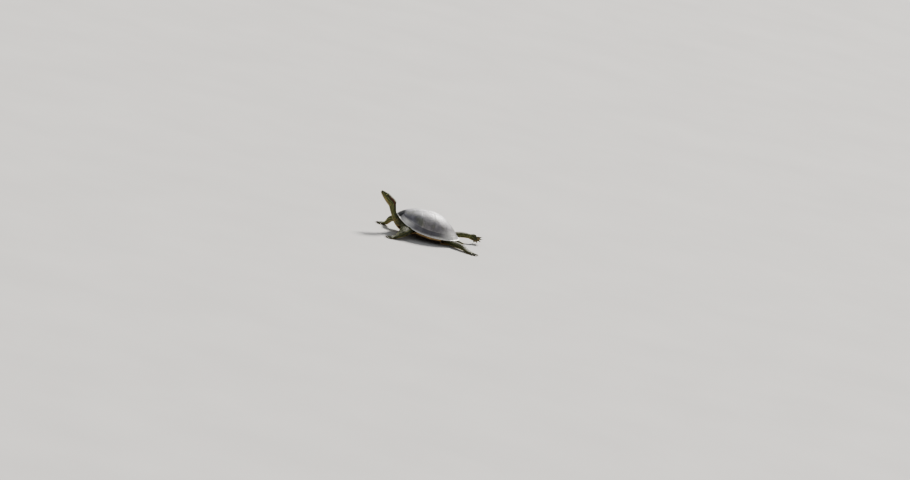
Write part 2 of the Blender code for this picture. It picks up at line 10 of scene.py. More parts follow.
import bmesh
import bpy
import numpy as np
from mathutils import Matrix, Vector
from mathutils.bvhtree import BVHTree
from mathutils.kdtree import KDTree


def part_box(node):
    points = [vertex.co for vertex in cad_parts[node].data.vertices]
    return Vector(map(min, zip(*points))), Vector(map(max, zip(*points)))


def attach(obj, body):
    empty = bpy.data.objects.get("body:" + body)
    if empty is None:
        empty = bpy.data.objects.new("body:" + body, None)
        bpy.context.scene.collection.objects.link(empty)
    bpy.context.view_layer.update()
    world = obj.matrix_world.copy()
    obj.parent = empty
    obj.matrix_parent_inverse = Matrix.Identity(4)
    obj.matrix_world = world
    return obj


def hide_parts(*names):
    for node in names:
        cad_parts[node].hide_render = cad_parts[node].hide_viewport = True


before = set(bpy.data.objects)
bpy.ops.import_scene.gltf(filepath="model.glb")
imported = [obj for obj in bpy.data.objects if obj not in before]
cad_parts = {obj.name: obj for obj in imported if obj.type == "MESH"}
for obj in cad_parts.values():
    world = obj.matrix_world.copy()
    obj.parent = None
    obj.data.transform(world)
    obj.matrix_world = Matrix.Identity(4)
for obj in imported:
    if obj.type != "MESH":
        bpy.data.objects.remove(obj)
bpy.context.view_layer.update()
MM = 0.001
X_AXIS = np.array([1.0, 0, 0])
Z_AXIS = np.array([0, 0, 1.0])

# ---- shell, in the shell's own level frame ---------------------------------------------------
HALF_LENGTH = 0.100
HALF_WIDTH = 0.078
DOME_TOP = 0.077
# powers that square the outline off a little, across and along, and how much wider the rear is
WIDTH_POWER, LENGTH_POWER, REAR_WIDER = 0.92, 0.96, 0.06
# how steeply the dome falls at the front, the rear and the sides
STEEP_FRONT, STEEP_REAR, STEEP_SIDE = 0.70, 0.92, 0.60
RIM_FRONT, RIM_SIDE, RIM_REAR = 0.0395, 0.0160, 0.0260
SHELL_WALL = 0.0034
# the share of the way out where the dome ends and its round lip begins
LIP_RATIO = 0.985
FLANGE_SLOPE = radians(24)
FLANGE_RISE = 0.0100
FLANGE_BLEND = 0.0030
PLASTRON_FRONT, PLASTRON_REAR = -0.088, 0.088
PLASTRON_WALL = 0.0040
BRIDGE_FRONT, BRIDGE_REAR, BRIDGE_CORNER, BRIDGE_BEND = -0.040, 0.032, 0.013, 0.62
# the plastron's half width at shares of its length, from the front
LOBE_WIDTHS = ((0.0, 0.023), (0.10, 0.037), (0.22, 0.045), (0.5, 0.046), (0.80, 0.046), (0.93, 0.035),
               (1.0, 0.017))
REAR_FLAT_START, GULAR_START, GULAR_RISE = 0.045, -0.066, 0.0035
SHELL_PITCH = radians(6.5)
SHELL_LIFT = 0.0051
GAP = 0.0004

# ---- head, neck, limbs and tail --------------------------------------------------------------
HEAD_LENGTH = 0.046
HEAD_PITCH = radians(37.5)
SNOUT_TIP = np.array([0, -0.1500, 0.1115])
SNOUT_ROUND = 0.0022
EYE_RADIUS = 0.0033
EYE_PLACE = (0.0078, 0.0310, 0.0033)
# brow, cheek and snout: place in the head (across, forward, above), then length, width and height
HEAD_SWELLINGS = (
    ((0.0068, 0.0290, 0.0064), (0.0052, 0.0026, 0.0027)),
    ((0.0098, 0.0090, -0.0020), (0.0090, 0.0048, 0.0080)),
    ((0.0020, 0.0428, 0.0012), (0.0030, 0.0022, 0.0026)),
)
# forward from the back of the head, half width, height above the axis and depth below it
HEAD_SECTIONS = (
    (-0.0080, 0.0102, 0.0098, 0.0110),
    (0.0000, 0.0125, 0.0118, 0.0132),
    (0.0080, 0.0144, 0.0122, 0.0130),
    (0.0160, 0.0145, 0.0116, 0.0122),
    (0.0240, 0.0130, 0.0111, 0.0110),
    (0.0310, 0.0106, 0.0098, 0.0098),
    (0.0370, 0.0082, 0.0075, 0.0086),
    (0.0420, 0.0060, 0.0050, 0.0071),
    (0.0450, 0.0044, 0.0034, 0.0056),
)
# centre line, half width and half thickness, from inside the body outwards
NECK = (
    (0, -0.050, 0.034, 0.0165, 0.0120),
    (0, -0.078, 0.0365, 0.0160, 0.0130),
    (0, -0.0935, 0.0440, 0.0135, 0.0108),
    (0, -0.1025, 0.0555, 0.0114, 0.0082),
    (0, -0.1083, 0.0690, 0.0116, 0.0096),
    (0, -0.1135, 0.0838, 0.0124, 0.0115),
)
# swellings of the body: centre and half sizes
COLLAR = (0, -0.0780, 0.0330), (0.0345, 0.0190, 0.0130)
SHOULDERS = (0.0370, -0.0690, 0.0300), (0.0170, 0.0145, 0.0115)
TAIL = (
    (0, 0.062, 0.0115, 0.0100, 0.0068),
    (0, 0.086, 0.0108, 0.0075, 0.0056),
    (0, 0.101, 0.0088, 0.0048, 0.0040),
    (0, 0.112, 0.0066, 0.0028, 0.0026),
    (0, 0.121, 0.0052, 0.0014, 0.0014),
)
LEGS = {
    "front_leg_left": (
        (0.028, -0.048, 0.0265, 0.0165, 0.0095),
        (0.050, -0.063, 0.0250, 0.0175, 0.0108),
        (0.067, -0.072, 0.0225, 0.0170, 0.0118),
        (0.080, -0.079, 0.0185, 0.0138, 0.0106),
        (0.0895, -0.0885, 0.0132, 0.0106, 0.0082),
        (0.0965, -0.0985, 0.0084, 0.0088, 0.0060),
    ),
    "front_leg_right": (
        (-0.028, -0.048, 0.0265, 0.0160, 0.0095),
        (-0.047, -0.064, 0.0275, 0.0165, 0.0100),
        (-0.0575, -0.080, 0.0290, 0.0130, 0.0094),
        (-0.0640, -0.091, 0.0255, 0.0104, 0.0086),
        (-0.0710, -0.0960, 0.0170, 0.0086, 0.0070),
        (-0.0775, -0.0993, 0.0090, 0.0080, 0.0056),
    ),
    "hind_leg_left": (
        (0.026, 0.048, 0.0130, 0.0130, 0.0072),
        (0.043, 0.066, 0.0112, 0.0135, 0.0070),
        (0.061, 0.083, 0.0104, 0.0125, 0.0084),
        (0.076, 0.096, 0.0100, 0.0100, 0.0080),
        (0.087, 0.104, 0.0082, 0.0088, 0.0066),
        (0.095, 0.109, 0.0060, 0.0090, 0.0052),
    ),
    "hind_leg_right": (
        (-0.026, 0.048, 0.0130, 0.0130, 0.0070),
        (-0.039, 0.070, 0.0128, 0.0125, 0.0074),
        (-0.046, 0.092, 0.0160, 0.0110, 0.0080),
        (-0.048, 0.110, 0.0200, 0.0092, 0.0082),
        (-0.050, 0.128, 0.0215, 0.0074, 0.0080),
        (-0.052, 0.143, 0.0205, 0.0058, 0.0074),
    ),
}
# toe angle from straight ahead (degrees), toe length, claw length
FRONT_TOES = (
    (-50, 0.0100, 0.0058),
    (-26, 0.0130, 0.0070),
    (-2, 0.0140, 0.0076),
    (22, 0.0130, 0.0070),
    (46, 0.0100, 0.0058),
)
HIND_TOES = (
    (-34, 0.0145, 0.0060),
    (-14, 0.0185, 0.0066),
    (6, 0.0195, 0.0066),
    (26, 0.0175, 0.0060),
    (47, 0.0125, 0.0),
)
# the web's reach along the toes, and how deep it is hollowed between them
FRONT_WEB, HIND_WEB = (0.60, 0.28), (0.97, 0.13)
# palm centre, way the toes point, way the back of the foot faces, half width, half thickness
FEET = {
    "front_leg_left": ((0.1010, -0.1090, 0.0042), (0.30, -0.95, 0), (0, 0, 1), 0.0090, 0.0045),
    "front_leg_right": ((-0.0845, -0.1050, 0.0042), (-0.24, -0.97, 0), (0, 0, 1), 0.0090, 0.0045),
    "hind_leg_left": ((0.1035, 0.1155, 0.0042), (0.62, 0.78, 0), (0, 0, 1), 0.0100, 0.0046),
    "hind_leg_right": ((-0.0555, 0.1560, 0.0190), (-0.35, 0.90, -0.25), (-0.75, -0.25, 0.60), 0.0098, 0.0044),
}
TOE_RADIUS, TOE_START, TOE_ARCH = 0.0021, 0.0060, 0.0009
CLAW_RADIUS, CLAW_TIP_RADIUS, CLAW_OVERLAP = 0.0011, 0.0002, 0.0018
WEB_HALF_THICKNESS = 0.0007
PALM_REACH = 0.0075
TRUNK_RATIO_ENDS, TRUNK_RATIO_SIDES = 0.74, 0.88

# ---- skin ------------------------------------------------------------------------------------
SKIN_VOXEL = 0.00042
SKIN_SMOOTHING = 9
# creases that loose skin rounds out: place and reach
LOOSE_SKIN = (
    ((0, -0.0880, 0.0400), 0.030),
    ((0.0390, -0.0660, 0.0280), 0.020),
    ((-0.0390, -0.0680, 0.0280), 0.020),
)
LOOSE_SMOOTHING = 90
SKIN_TRIANGLES = 190_000
COAT_DEPTH = 0.00025
LID_THICKNESS = 0.00055
SOLE_FLAT = 0.0004
FLESH_NODES = ["trunk", "neck", "head", "tail"]
FLESH_NODES += [f"{pair}_{part}_{side}" for pair in ("front", "hind")
                for part in ("upper_leg", "lower_leg", "foot") for side in ("left", "right")]


# ---- numbers: vectors, smooth steps and noise --------------------------------------------------
def unit(v):
    v = np.asarray(v, float)
    return v / np.maximum(np.linalg.norm(v, axis=-1, keepdims=True), 1e-12)


def distance(points, place):
    return np.linalg.norm(points - place, axis=-1)


def step_up(low, high, value):
    """0 up to low, 1 from high on, and smooth between them."""
    t = np.clip((value - low) / (high - low), 0, 1)
    return t * t * (3 - 2 * t)


def bump_at(value, middle, half_width):
    """1 at the middle, falling smoothly to 0 at half_width from it."""
    return 1 - step_up(0, half_width, np.abs(value - middle))


def lattice(cell, seed):
    """A repeatable number from -1 to 1 for each whole-number cell."""
    mask = 0xFFFFFFFF
    n = cell[..., 0] * 374761393 + cell[..., 1] * 668265263 + cell[..., 2] * 1442695041
    n = (n + seed * 1274126177) & mask
    n = ((n ^ (n >> 13)) * 1274126177) & mask
    n = ((n ^ (n >> 16)) * 2246822519) & mask
    return (n ^ (n >> 15)) / mask * 2 - 1


def noise(points, size, seed=0, octaves=1):
    """Smooth noise from about -1 to 1, with features of this size."""
    total = np.zeros(len(points))
    weight = 1.0
    for octave in range(octaves):
        p = np.asarray(points) / size * 2**octave + 100.0
        cell = np.floor(p).astype(np.int64)
        t = p - cell
        t = t * t * (3 - 2 * t)
        value = np.zeros(len(p))
        for corner in np.ndindex(2, 2, 2):
            share = np.prod(np.where(corner, t, 1 - t), axis=1)
            value += share * lattice(cell + np.array(corner), seed + 17 * octave)
        total += value * weight
        weight *= 0.5
    return total


def smooth_rows(rows, count):
    """The rows of a table read at even steps along a smooth curve through them."""
    rows = np.array(rows, float)
    padded = np.vstack([2 * rows[0] - rows[1], rows, 2 * rows[-1] - rows[-2]])
    place = np.linspace(0, len(rows) - 1, count)
    start = np.minimum(place.astype(int), len(rows) - 2)
    t = (place - start)[:, None]
    a, b, c, d = (padded[start + k] for k in range(4))
    cubic = 3 * b - a - 3 * c + d
    square = 2 * a - 5 * b + 4 * c - d
    return b + 0.5 * ((c - a) * t + square * t**2 + cubic * t**3)


# ---- meshes ------------------------------------------------------------------------------------
class Shape:
    """Points and faces gathered from several bodies, with named numbers for each point."""

    def __init__(self):
        self.points, self.faces, self.values = [], [], {}
        self.count = 0

    def add(self, points, faces, **values):
        points = np.asarray(points, float).reshape(-1, 3)
        self.points.append(points)
        self.faces += [tuple(int(i) + self.count for i in face) for face in faces]
        self.count += len(points)
        for name, value in values.items():
            self.values.setdefault(name, []).append(np.broadcast_to(value, len(points)))

    def loft(self, rings, **values):
        """A closed body through rings with equal numbers of points."""
        rings = np.array(rings, float)
        count, around = rings.shape[:2]
        first = range(around)
        last = range((count - 1) * around, count * around)
        self.add(rings, [*ring_faces(count, around), first[::-1], last], **values)

    def object(self, name, move=None):
        """The shape as an object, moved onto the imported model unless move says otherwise."""
        mesh = bpy.data.meshes.new(name)
        points = np.vstack(self.points)
        mesh.from_pydata((points + (SHIFT if move is None else move)).tolist(), [], self.faces)
        for key, parts in self.values.items():
            set_values(mesh, key, np.concatenate(parts))
        mesh.shade_smooth()
        obj = bpy.data.objects.new(name, mesh)
        bpy.context.scene.collection.objects.link(obj)
        return obj


def cutter(name, rings):
    """A closed body facing outwards, to cut from another."""
    shape = Shape()
    shape.loft(rings)
    obj = shape.object(name, 0)
    bm = bmesh.new()
    bm.from_mesh(obj.data)
    bmesh.ops.recalc_face_normals(bm, faces=bm.faces)
    bm.to_mesh(obj.data)
    bm.free()
    return obj


def ring_faces(count, around):
    """Four-sided faces between rings that follow each other."""
    faces = []
    for start in range(0, (count - 1) * around, around):
        for i in range(around):
            after = start + (i + 1) % around
            faces.append((start + i, after, after + around, start + i + around))
    return faces


def set_values(mesh, name, values):
    attribute = mesh.attributes.new(name, "FLOAT", "POINT")
    attribute.data.foreach_set("value", np.ascontiguousarray(values, np.float32))


def rows_of_three(items, name, kind=np.float32):
    """A property of mesh items, such as their place, as rows of three numbers."""
    flat = np.empty(len(items) * 3, kind)
    items.foreach_get(name, flat)
    return flat.reshape(-1, 3)


def mesh_points(mesh):
    return rows_of_three(mesh.vertices, "co").astype(float)


def mesh_normals(mesh):
    return rows_of_three(mesh.vertex_normals, "vector").astype(float)


def set_points(mesh, points):
    mesh.vertices.foreach_set("co", np.ascontiguousarray(points, np.float32).ravel())
    mesh.update()


def apply_modifiers(obj):
    """Bakes the object's modifiers into its own mesh."""
    evaluated = obj.evaluated_get(bpy.context.evaluated_depsgraph_get())
    mesh = bpy.data.meshes.new_from_object(evaluated)
    obj.modifiers.clear()
    old, obj.data = obj.data, mesh
    bpy.data.meshes.remove(old)
    return mesh


def surface_tree(obj):
    return BVHTree.FromObject(obj, bpy.context.evaluated_depsgraph_get())


# ---- shell shape -------------------------------------------------------------------------------
def on_ground(points):
    """Points of the shell's level frame, in the ground frame."""
    points = np.asarray(points, float)
    x, y, z = points[..., 0], points[..., 1], points[..., 2]
    turned_y = y * cos(SHELL_PITCH) + z * sin(SHELL_PITCH)
    turned_z = z * cos(SHELL_PITCH) - y * sin(SHELL_PITCH)
    return np.stack([x, turned_y, turned_z + SHELL_LIFT], axis=-1)


def off_ground(points):
    """The inverse of on_ground."""
    x, y, z = points[..., 0], points[..., 1], points[..., 2] - SHELL_LIFT
    level_y = y * cos(SHELL_PITCH) - z * sin(SHELL_PITCH)
    level_z = z * cos(SHELL_PITCH) + y * sin(SHELL_PITCH)
    return np.stack([x, level_y, level_z], axis=-1)


def rim_plan(angle, shrink=0.0):
    """The shell's outline seen from above: angle 0 is the front, a quarter turn the left side."""
    across = np.sign(np.sin(angle)) * np.abs(np.sin(angle)) ** WIDTH_POWER
    along = -np.sign(np.cos(angle)) * np.abs(np.cos(angle)) ** LENGTH_POWER
    widening = 1 - REAR_WIDER * np.cos(angle)
    return (HALF_WIDTH - shrink) * across * widening, (HALF_LENGTH - shrink) * along


def rim_height(angle):
    """The rim's height: lowest at the sides, highest over the neck."""
    front = (RIM_FRONT - RIM_SIDE) * np.maximum(np.cos(angle), 0) ** 3.0
    rear = (RIM_REAR - RIM_SIDE) * np.maximum(-np.cos(angle), 0) ** 1.3
    return RIM_SIDE + front + rear


def dome(angle, ratio, shrink=0.0):
    """Points of the carapace, or of a shell nested in it by shrink, from centre 0 to rim 1."""
    front = np.maximum(np.cos(angle), 0) ** 2
    rear = np.maximum(-np.cos(angle), 0) ** 2
    side = 1 - front - rear
    x, y = rim_plan(angle, shrink)
    rim = rim_height(angle)
    steepness = STEEP_FRONT * front + STEEP_REAR * rear + STEEP_SIDE * side
    inner = np.minimum(ratio * (1.01 + 0.045 * (front + rear)), 1)
    bowl = rim + (DOME_TOP - shrink - rim) * (1 - inner ** (2.0 + 0.2 * side)) ** steepness
    inwards = (1 - ratio) * np.hypot(x, y)
    flange = rim + FLANGE_RISE * (1 - np.exp(-tan(FLANGE_SLOPE) * inwards / FLANGE_RISE))
    blend = np.sqrt((bowl - flange) ** 2 + FLANGE_BLEND**2)
    height = 0.5 * (bowl + flange + blend) - 0.5 * FLANGE_BLEND
    return np.stack([x * ratio, y * ratio, height], axis=-1)


ANGLES = np.linspace(0, pi, 2001)
ANGLE_X, ANGLE_Y = rim_plan(ANGLES)
ANGLE_BEARING = np.arctan2(ANGLE_X, -ANGLE_Y)


def polar(x, y):
    """The outline angle and ratio of places seen from above."""
    bearing = np.arctan2(np.abs(x), -y)
    angle = np.interp(bearing, ANGLE_BEARING, ANGLES) * np.where(x < 0, -1, 1)
    rim_x, rim_y = rim_plan(angle)
    return angle, np.hypot(x, y) / np.hypot(rim_x, rim_y)


def shell_ratio(points):
    """How far out under the shell points of the ground frame lie: 0 in the middle, 1 at the rim."""
    level = off_ground(points)
    return polar(level[:, 0], level[:, 1])[1]


def bridge_angle(y):
    """The outline angle of the left edge at y."""
    share = np.minimum(np.abs(y) / (HALF_LENGTH - SHELL_WALL / 2), 1)
    return np.arccos(-np.sign(y) * share ** (1 / LENGTH_POWER))


def bridge_share(y):
    """1 where the bridge joins plastron to rim, 0 at the lobes."""
    front = step_up(BRIDGE_FRONT - BRIDGE_CORNER, BRIDGE_FRONT, y)
    return front * (1 - step_up(BRIDGE_REAR, BRIDGE_REAR + BRIDGE_CORNER, y))


LOBE_CURVE = smooth_rows(LOBE_WIDTHS, 80)


def plastron_half_width(y):
    lobe = np.interp((y - PLASTRON_FRONT) / (PLASTRON_REAR - PLASTRON_FRONT), *LOBE_CURVE.T)
    return lobe + (rim_plan(bridge_angle(y), SHELL_WALL / 2)[0] - lobe) * bridge_share(y)


def plastron_under(x, y):
    """Height of the plastron's underside: turned up at both ends and at the bridges."""
    gular = GULAR_RISE * (np.maximum(GULAR_START - y, 0) / (GULAR_START - PLASTRON_FRONT)) ** 2
    flat = (y * sin(SHELL_PITCH) - SHELL_LIFT) / cos(SHELL_PITCH)
    floor = np.where(y > REAR_FLAT_START, flat, gular)
    edge = rim_height(bridge_angle(y)) - SHELL_WALL / 2 - GAP - PLASTRON_WALL
    share = np.minimum(np.abs(x) / plastron_half_width(y), 1)
    return floor + step_up(BRIDGE_BEND, 2 - BRIDGE_BEND, share) * 2 * edge * bridge_share(y)


def trunk_rings(around=64, steps=14, margin=0.0020):
    """The body inside the shell, from the middle of its back to the middle of its belly."""
    angles = np.linspace(0, 2 * pi, around, endpoint=False)
    ratios = np.maximum(1 - (1 - np.linspace(0, 1, steps + 1)) ** 1.5, 0.02)
    reach = TRUNK_RATIO_ENDS + (TRUNK_RATIO_SIDES - TRUNK_RATIO_ENDS) * np.sin(angles) ** 4
    back = [dome(angles, ratio * reach, SHELL_WALL + margin) for ratio in ratios]
    belly = []
    for points in back[::-1]:
        under = plastron_under(points[:, 0], points[:, 1]) + PLASTRON_WALL + margin
        belly.append(np.column_stack([points[:, :2], under]))
    middle = (back[-1][:, 2] + belly[0][:, 2]) / 2
    rings = []
    for points, ratio in zip([*back, *belly], [*ratios, *ratios[::-1]]):
        z = middle + (points[:, 2] - middle) * np.sqrt(1 - 0.98 * ratio**8)
        rings.append(on_ground(np.column_stack([points[:, :2], z])))
    return rings


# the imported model's place: its carapace's box against this one's
box_low, box_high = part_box("carapace")
FRONT_LIP = on_ground(dome(0.0, 1.0))
SHIFT = np.array([(box_low.x + box_high.x) / 2, box_low.y - FRONT_LIP[1], 0.0])


# ---- body shapes -------------------------------------------------------------------------------
OVAL_POWER = 0.92


def oval(centre, side, top, bottom, count):
    """Points of a slightly squared oval; side, top and bottom are its half axes as vectors."""
    angle = np.linspace(0, 2 * pi, count, endpoint=False)[:, None]
    across = np.sign(np.cos(angle)) * np.abs(np.cos(angle)) ** OVAL_POWER
    height = np.abs(np.sin(angle)) ** OVAL_POWER
    return centre + side * across + np.where(np.sin(angle) >= 0, top, bottom) * height


class Line:
    """The centre line of a neck, leg or tail, with its directions and half sizes at each step."""

    def __init__(self, rows, steps, side=None):
        rows = smooth_rows(rows, steps)
        self.centre = rows[:, :3]
        self.width, self.thick = rows[:, 3], rows[:, 4]
        self.along = unit(np.gradient(rows[:, :3], axis=0))
        self.side = unit(np.cross(self.along, Z_AXIS)) if side is None else np.tile(side, (steps, 1))
        self.up = np.cross(self.side, self.along)
        lengths = np.linalg.norm(np.diff(self.centre, axis=0), axis=1)
        self.length = np.concatenate([[0], np.cumsum(lengths)])

    def rings(self, sides=40, round_ends=True):
        """Ovals along the line, which shrink round its two ends."""
        rings = []
        last = len(self.centre) - 1
        for i in range(last + 1):
            end = {0: -1, last: 1}.get(i, 0)
            turns = (0, 25, 45, 62, 76) if end and round_ends else (0,)
            for turn in turns if end > 0 else turns[::-1]:
                centre = self.centre[i] + self.along[i] * end * self.thick[i] * sin(radians(turn))
                shrink = cos(radians(turn))
                top = self.up[i] * self.thick[i] * shrink
                rings.append(oval(centre, self.side[i] * self.width[i] * shrink, top, -top, sides))
        return rings


def ellipsoid_rings(centre, axes, sides=32, levels=18):
    """Rings of an ellipsoid whose half axes are the three vectors in axes."""
    rings = []
    for level in range(1, levels):
        turn = pi * level / levels
        top = np.array(axes[1]) * sin(turn)
        middle = np.array(centre) - np.array(axes[2]) * cos(turn)
        rings.append(oval(middle, np.array(axes[0]) * sin(turn), top, -top, sides))
    return rings


AHEAD = np.array([0, -cos(HEAD_PITCH), sin(HEAD_PITCH)])
OVER = np.array([0, sin(HEAD_PITCH), cos(HEAD_PITCH)])


def head_place(across, forward, above):
    """A point given from the back of the head: across to the left, forward and above its axis."""
    return SNOUT_TIP + AHEAD * (forward - HEAD_LENGTH) + OVER * above + X_AXIS * across


def head_coordinates(points):
    """Forward from the back of the head and above its axis, for any points."""
    away = points - SNOUT_TIP
    return away @ AHEAD + HEAD_LENGTH, away @ OVER


def head_rings(steps=44, sides=64):
    rings = []
    for forward, half_width, above, below in smooth_rows(HEAD_SECTIONS, steps):
        centre = head_place(0, forward, 0)
        rings.append(oval(centre, X_AXIS * half_width, OVER * above, -OVER * below, sides))
    last = rings[-1]
    middle = last.mean(axis=0)
    for turn in (20, 40, 58, 72, 84):
        out, ahead = cos(radians(turn)), sin(radians(turn))
        rings.append(middle + AHEAD * SNOUT_ROUND * ahead + (last - middle) * out)
    return rings


class Foot:
    """A foot's toes, web and claws; its palm is the end of the leg's own tube."""

    def __init__(self, name):
        centre, forward, up, self.half_width, self.half_thickness = FEET[name]
        self.centre = np.array(centre)
        self.ahead = unit(forward)
        self.side = unit(np.cross(up, self.ahead))
        self.over = np.cross(self.ahead, self.side)
        self.toes = FRONT_TOES if name.startswith("front") else HIND_TOES
        self.web = FRONT_WEB if name.startswith("front") else HIND_WEB

    def direction(self, angle):
        return self.ahead * cos(radians(angle)) + self.side * sin(radians(angle))

    def start(self, angle):
        return self.centre + self.direction(angle) * TOE_START

    def tip(self, angle, length):
        drop = self.over * (self.half_thickness - TOE_RADIUS)
        return self.start(angle) + self.direction(angle) * length - drop

    def toe_line(self, toe, steps=18):
        start, tip = self.start(toe[0]), self.tip(*toe[:2])
        middle = (start + tip) / 2 + self.over * TOE_ARCH
        knuckle = start * 0.28 + tip * 0.72 + self.over * TOE_ARCH * 0.45
        base = self.centre + self.direction(toe[0]) * 0.001
        rows = [
            (*base, TOE_RADIUS * 1.2, TOE_RADIUS * 1.3),
            (*start, TOE_RADIUS * 1.1, TOE_RADIUS * 1.2),
            (*middle, TOE_RADIUS, TOE_RADIUS),
            (*knuckle, TOE_RADIUS * 0.92, TOE_RADIUS * 0.96),
            (*tip, TOE_RADIUS * 0.85, TOE_RADIUS * 0.9),
        ]
        return Line(rows, steps, unit(np.cross(self.over, self.direction(toe[0]))))

    def web_rings(self, between=8, rows=10):
        reach, depth = self.web
        tips = []
        for near, far in zip(self.toes, self.toes[1:]):
            for share in np.arange(between) / between:
                angle = near[0] + (far[0] - near[0]) * share
                length = near[1] + (far[1] - near[1]) * share
                tips.append((angle, length, 1 - depth * sin(pi * share)))
        tips.append((*self.toes[-1][:2], 1))
        rings = []
        for angle, length, hollow in tips:
            start = self.start(angle)
            tip = start + (self.tip(angle, length) - start) * reach * hollow
            line = self.centre + (tip - self.centre) * np.linspace(0, 1, rows)[:, None]
            thick = self.over * WEB_HALF_THICKNESS
            rings.append(np.vstack([line + thick, (line - thick)[::-1]]))
        return rings

    def claw_line(self, toe, steps=15):
        direction = self.direction(toe[0])
        root = self.tip(*toe[:2]) - direction * CLAW_OVERLAP + self.over * 0.0003
        share = np.linspace(0, 1, steps)[:, None]
        arch = toe[2] * (0.60 * share * (1 - share) - 0.06 * share)
        centre = root + direction * (toe[2] + CLAW_OVERLAP) * share + self.over * arch
        radius = CLAW_RADIUS + (CLAW_TIP_RADIUS - CLAW_RADIUS) * share**1.3
        rows = np.hstack([centre, radius * 0.86, radius * 1.12])
        return Line(rows, steps, unit(np.cross(self.over, direction)))


FEET_SHAPES = {name: Foot(name) for name in FEET}


def leg_table(name):
    """The leg's table with its palm added; a foot turned on its side is higher than it is wide."""
    foot = FEET_SHAPES[name]
    half_width, half_thickness = foot.half_width, foot.half_thickness
    on_side = abs(FEET[name][2][2]) < 0.8
    if on_side:
        half_width, half_thickness = half_thickness, half_width
    end = foot.centre + foot.ahead * PALM_REACH
    palm = (*foot.centre, half_width, half_thickness)
    return [*LEGS[name], palm, (*end, half_width * 0.86, half_thickness * 0.8)]


LINES = {name: Line(leg_table(name), 90) for name in LEGS}
LINES["neck"] = Line(NECK, 90, X_AXIS)
LINES["tail"] = Line(TAIL, 60, X_AXIS)
EYES = {"left": head_place(*EYE_PLACE), "right": head_place(-EYE_PLACE[0], *EYE_PLACE[1:])}


def gaze(side):
    """The way an eye looks, and its frame: to its front corner and to its upper lid."""
    out = X_AXIS if side == "left" else -X_AXIS
    look = unit(out * 0.93 + AHEAD * 0.33 + OVER * 0.18)
    front = unit(AHEAD - look * (AHEAD @ look))
    upper = np.cross(look, front) if side == "right" else np.cross(front, look)
    return look, front, upper if upper @ OVER > 0 else -upper


# ---- skin: one surface over all the flesh ------------------------------------------------------
def raw_flesh():
    """The flesh as overlapping closed bodies."""
    shape = Shape()
    shape.loft(trunk_rings())
    for line in LINES.values():
        shape.loft(line.rings())
    shape.loft(ellipsoid_rings(COLLAR[0], np.diag(COLLAR[1])))
    for side in (1, -1):
        shape.loft(ellipsoid_rings(np.array(SHOULDERS[0]) * [side, 1, 1], np.diag(SHOULDERS[1])))
    shape.loft(head_rings())
    for (across, forward, above), (length, width, height) in HEAD_SWELLINGS:
        for side in (1, -1):
            centre = head_place(across * side, forward, above)
            shape.loft(ellipsoid_rings(centre, (X_AXIS * width, OVER * height, AHEAD * length)))
    for side, centre in EYES.items():
        look, front, upper = gaze(side)
        ball = EYE_RADIUS + LID_THICKNESS
        shape.loft(ellipsoid_rings(centre, (front * ball * 1.06, upper * ball * 0.97, look * ball)))
    for foot in FEET_SHAPES.values():
        for toe in foot.toes:
            shape.loft(foot.toe_line(toe).rings(20))
        shape.loft(foot.web_rings())
    return shape


def nearest_line(points):
    """For each point the nearest neck, leg or tail, and the place along and around that."""
    best = np.full(len(points), np.inf)
    which = np.zeros(len(points), int)
    for index, line in enumerate(LINES.values()):
        for i in range(0, len(line.centre), 4):
            gap = distance(points, line.centre[i]) - (line.width[i] + line.thick[i]) / 2
            closer = gap < best
            best[closer] = gap[closer]
            which[closer] = index
    length, angle, share = np.zeros((3, len(points)))
    for index, line in enumerate(LINES.values()):
        mine = np.flatnonzero(which == index)
        for part in np.array_split(mine, len(mine) // 20000 + 1):
            away = points[part][:, None, :] - line.centre[None]
            step = (away**2).sum(axis=2).argmin(axis=1)
            away = away[np.arange(len(part)), step]
            length[part] = line.length[step] + (away * line.along[step]).sum(axis=1)
            up = (away * line.up[step]).sum(axis=1)
            angle[part] = np.arctan2(up, (away * line.side[step]).sum(axis=1))
            share[part] = step / (len(line.centre) - 1)
    return which, share, length, angle


# heights of the neck's rings, pleats and creases, of the legs' folds and creases, of the tail's rings
NECK_RING, NECK_PLEAT, NECK_CREASE = 0.00034, 0.00016, 0.00007
LEG_FOLD, LEG_CREASE, TAIL_RING = 0.00022, 0.00006, 0.00012


def is_on(which, name):
    """Which points belong to the neck, leg or tail of this name."""
    return which == list(LINES).index(name)


def fold_height(points, which, share, length, angle):
    """How far creases and folds lift the skin, in metres."""
    height = np.zeros(len(points))
    drift = noise(points, 0.011, 3, 2)

    def waves(spacing, sway):
        return np.sin(2 * pi * length / spacing + sway)

    around = np.column_stack([np.cos(angle), np.sin(angle), length / 0.03])
    forward = head_coordinates(points)[0]
    base = 1 - step_up(0.35, 0.62, share)
    rings = waves(0.0052, 2.2 * drift) * step_up(-0.7, 0.3, noise(points, 0.010, 4))
    pleats = np.sin(13 * angle + 3.0 * noise(around, 0.8, 5, 2))
    fine = waves(0.0019, 3.0 * noise(points, 0.006, 8, 2))
    neck_height = NECK_RING * base * rings + NECK_PLEAT * (1 - base) * pleats + NECK_CREASE * fine
    neck = is_on(which, "neck") & (forward < 0.004)
    height[neck] = neck_height[neck] * (1 - step_up(-0.006, 0.004, forward[neck]))
    folds = waves(0.0046, 4.5 * drift) * step_up(-0.5, 0.6, noise(points, 0.012, 14))
    creases = waves(0.0017, 3.0 * noise(points, 0.007, 11, 2))
    for name in LEGS:
        mine = is_on(which, name)
        bend = 0.45 if name.startswith("front") else 0.40
        creased = bump_at(share, bend, 0.16) + 0.8 * bump_at(share, 0.80, 0.10)
        creased = creased + 0.7 * (1 - step_up(0.10, 0.34, share))
        height[mine] = (LEG_FOLD * creased * folds + LEG_CREASE * creases)[mine]
    tail = is_on(which, "tail")
    height[tail] = TAIL_RING * waves(0.0026, drift)[tail]
    return height


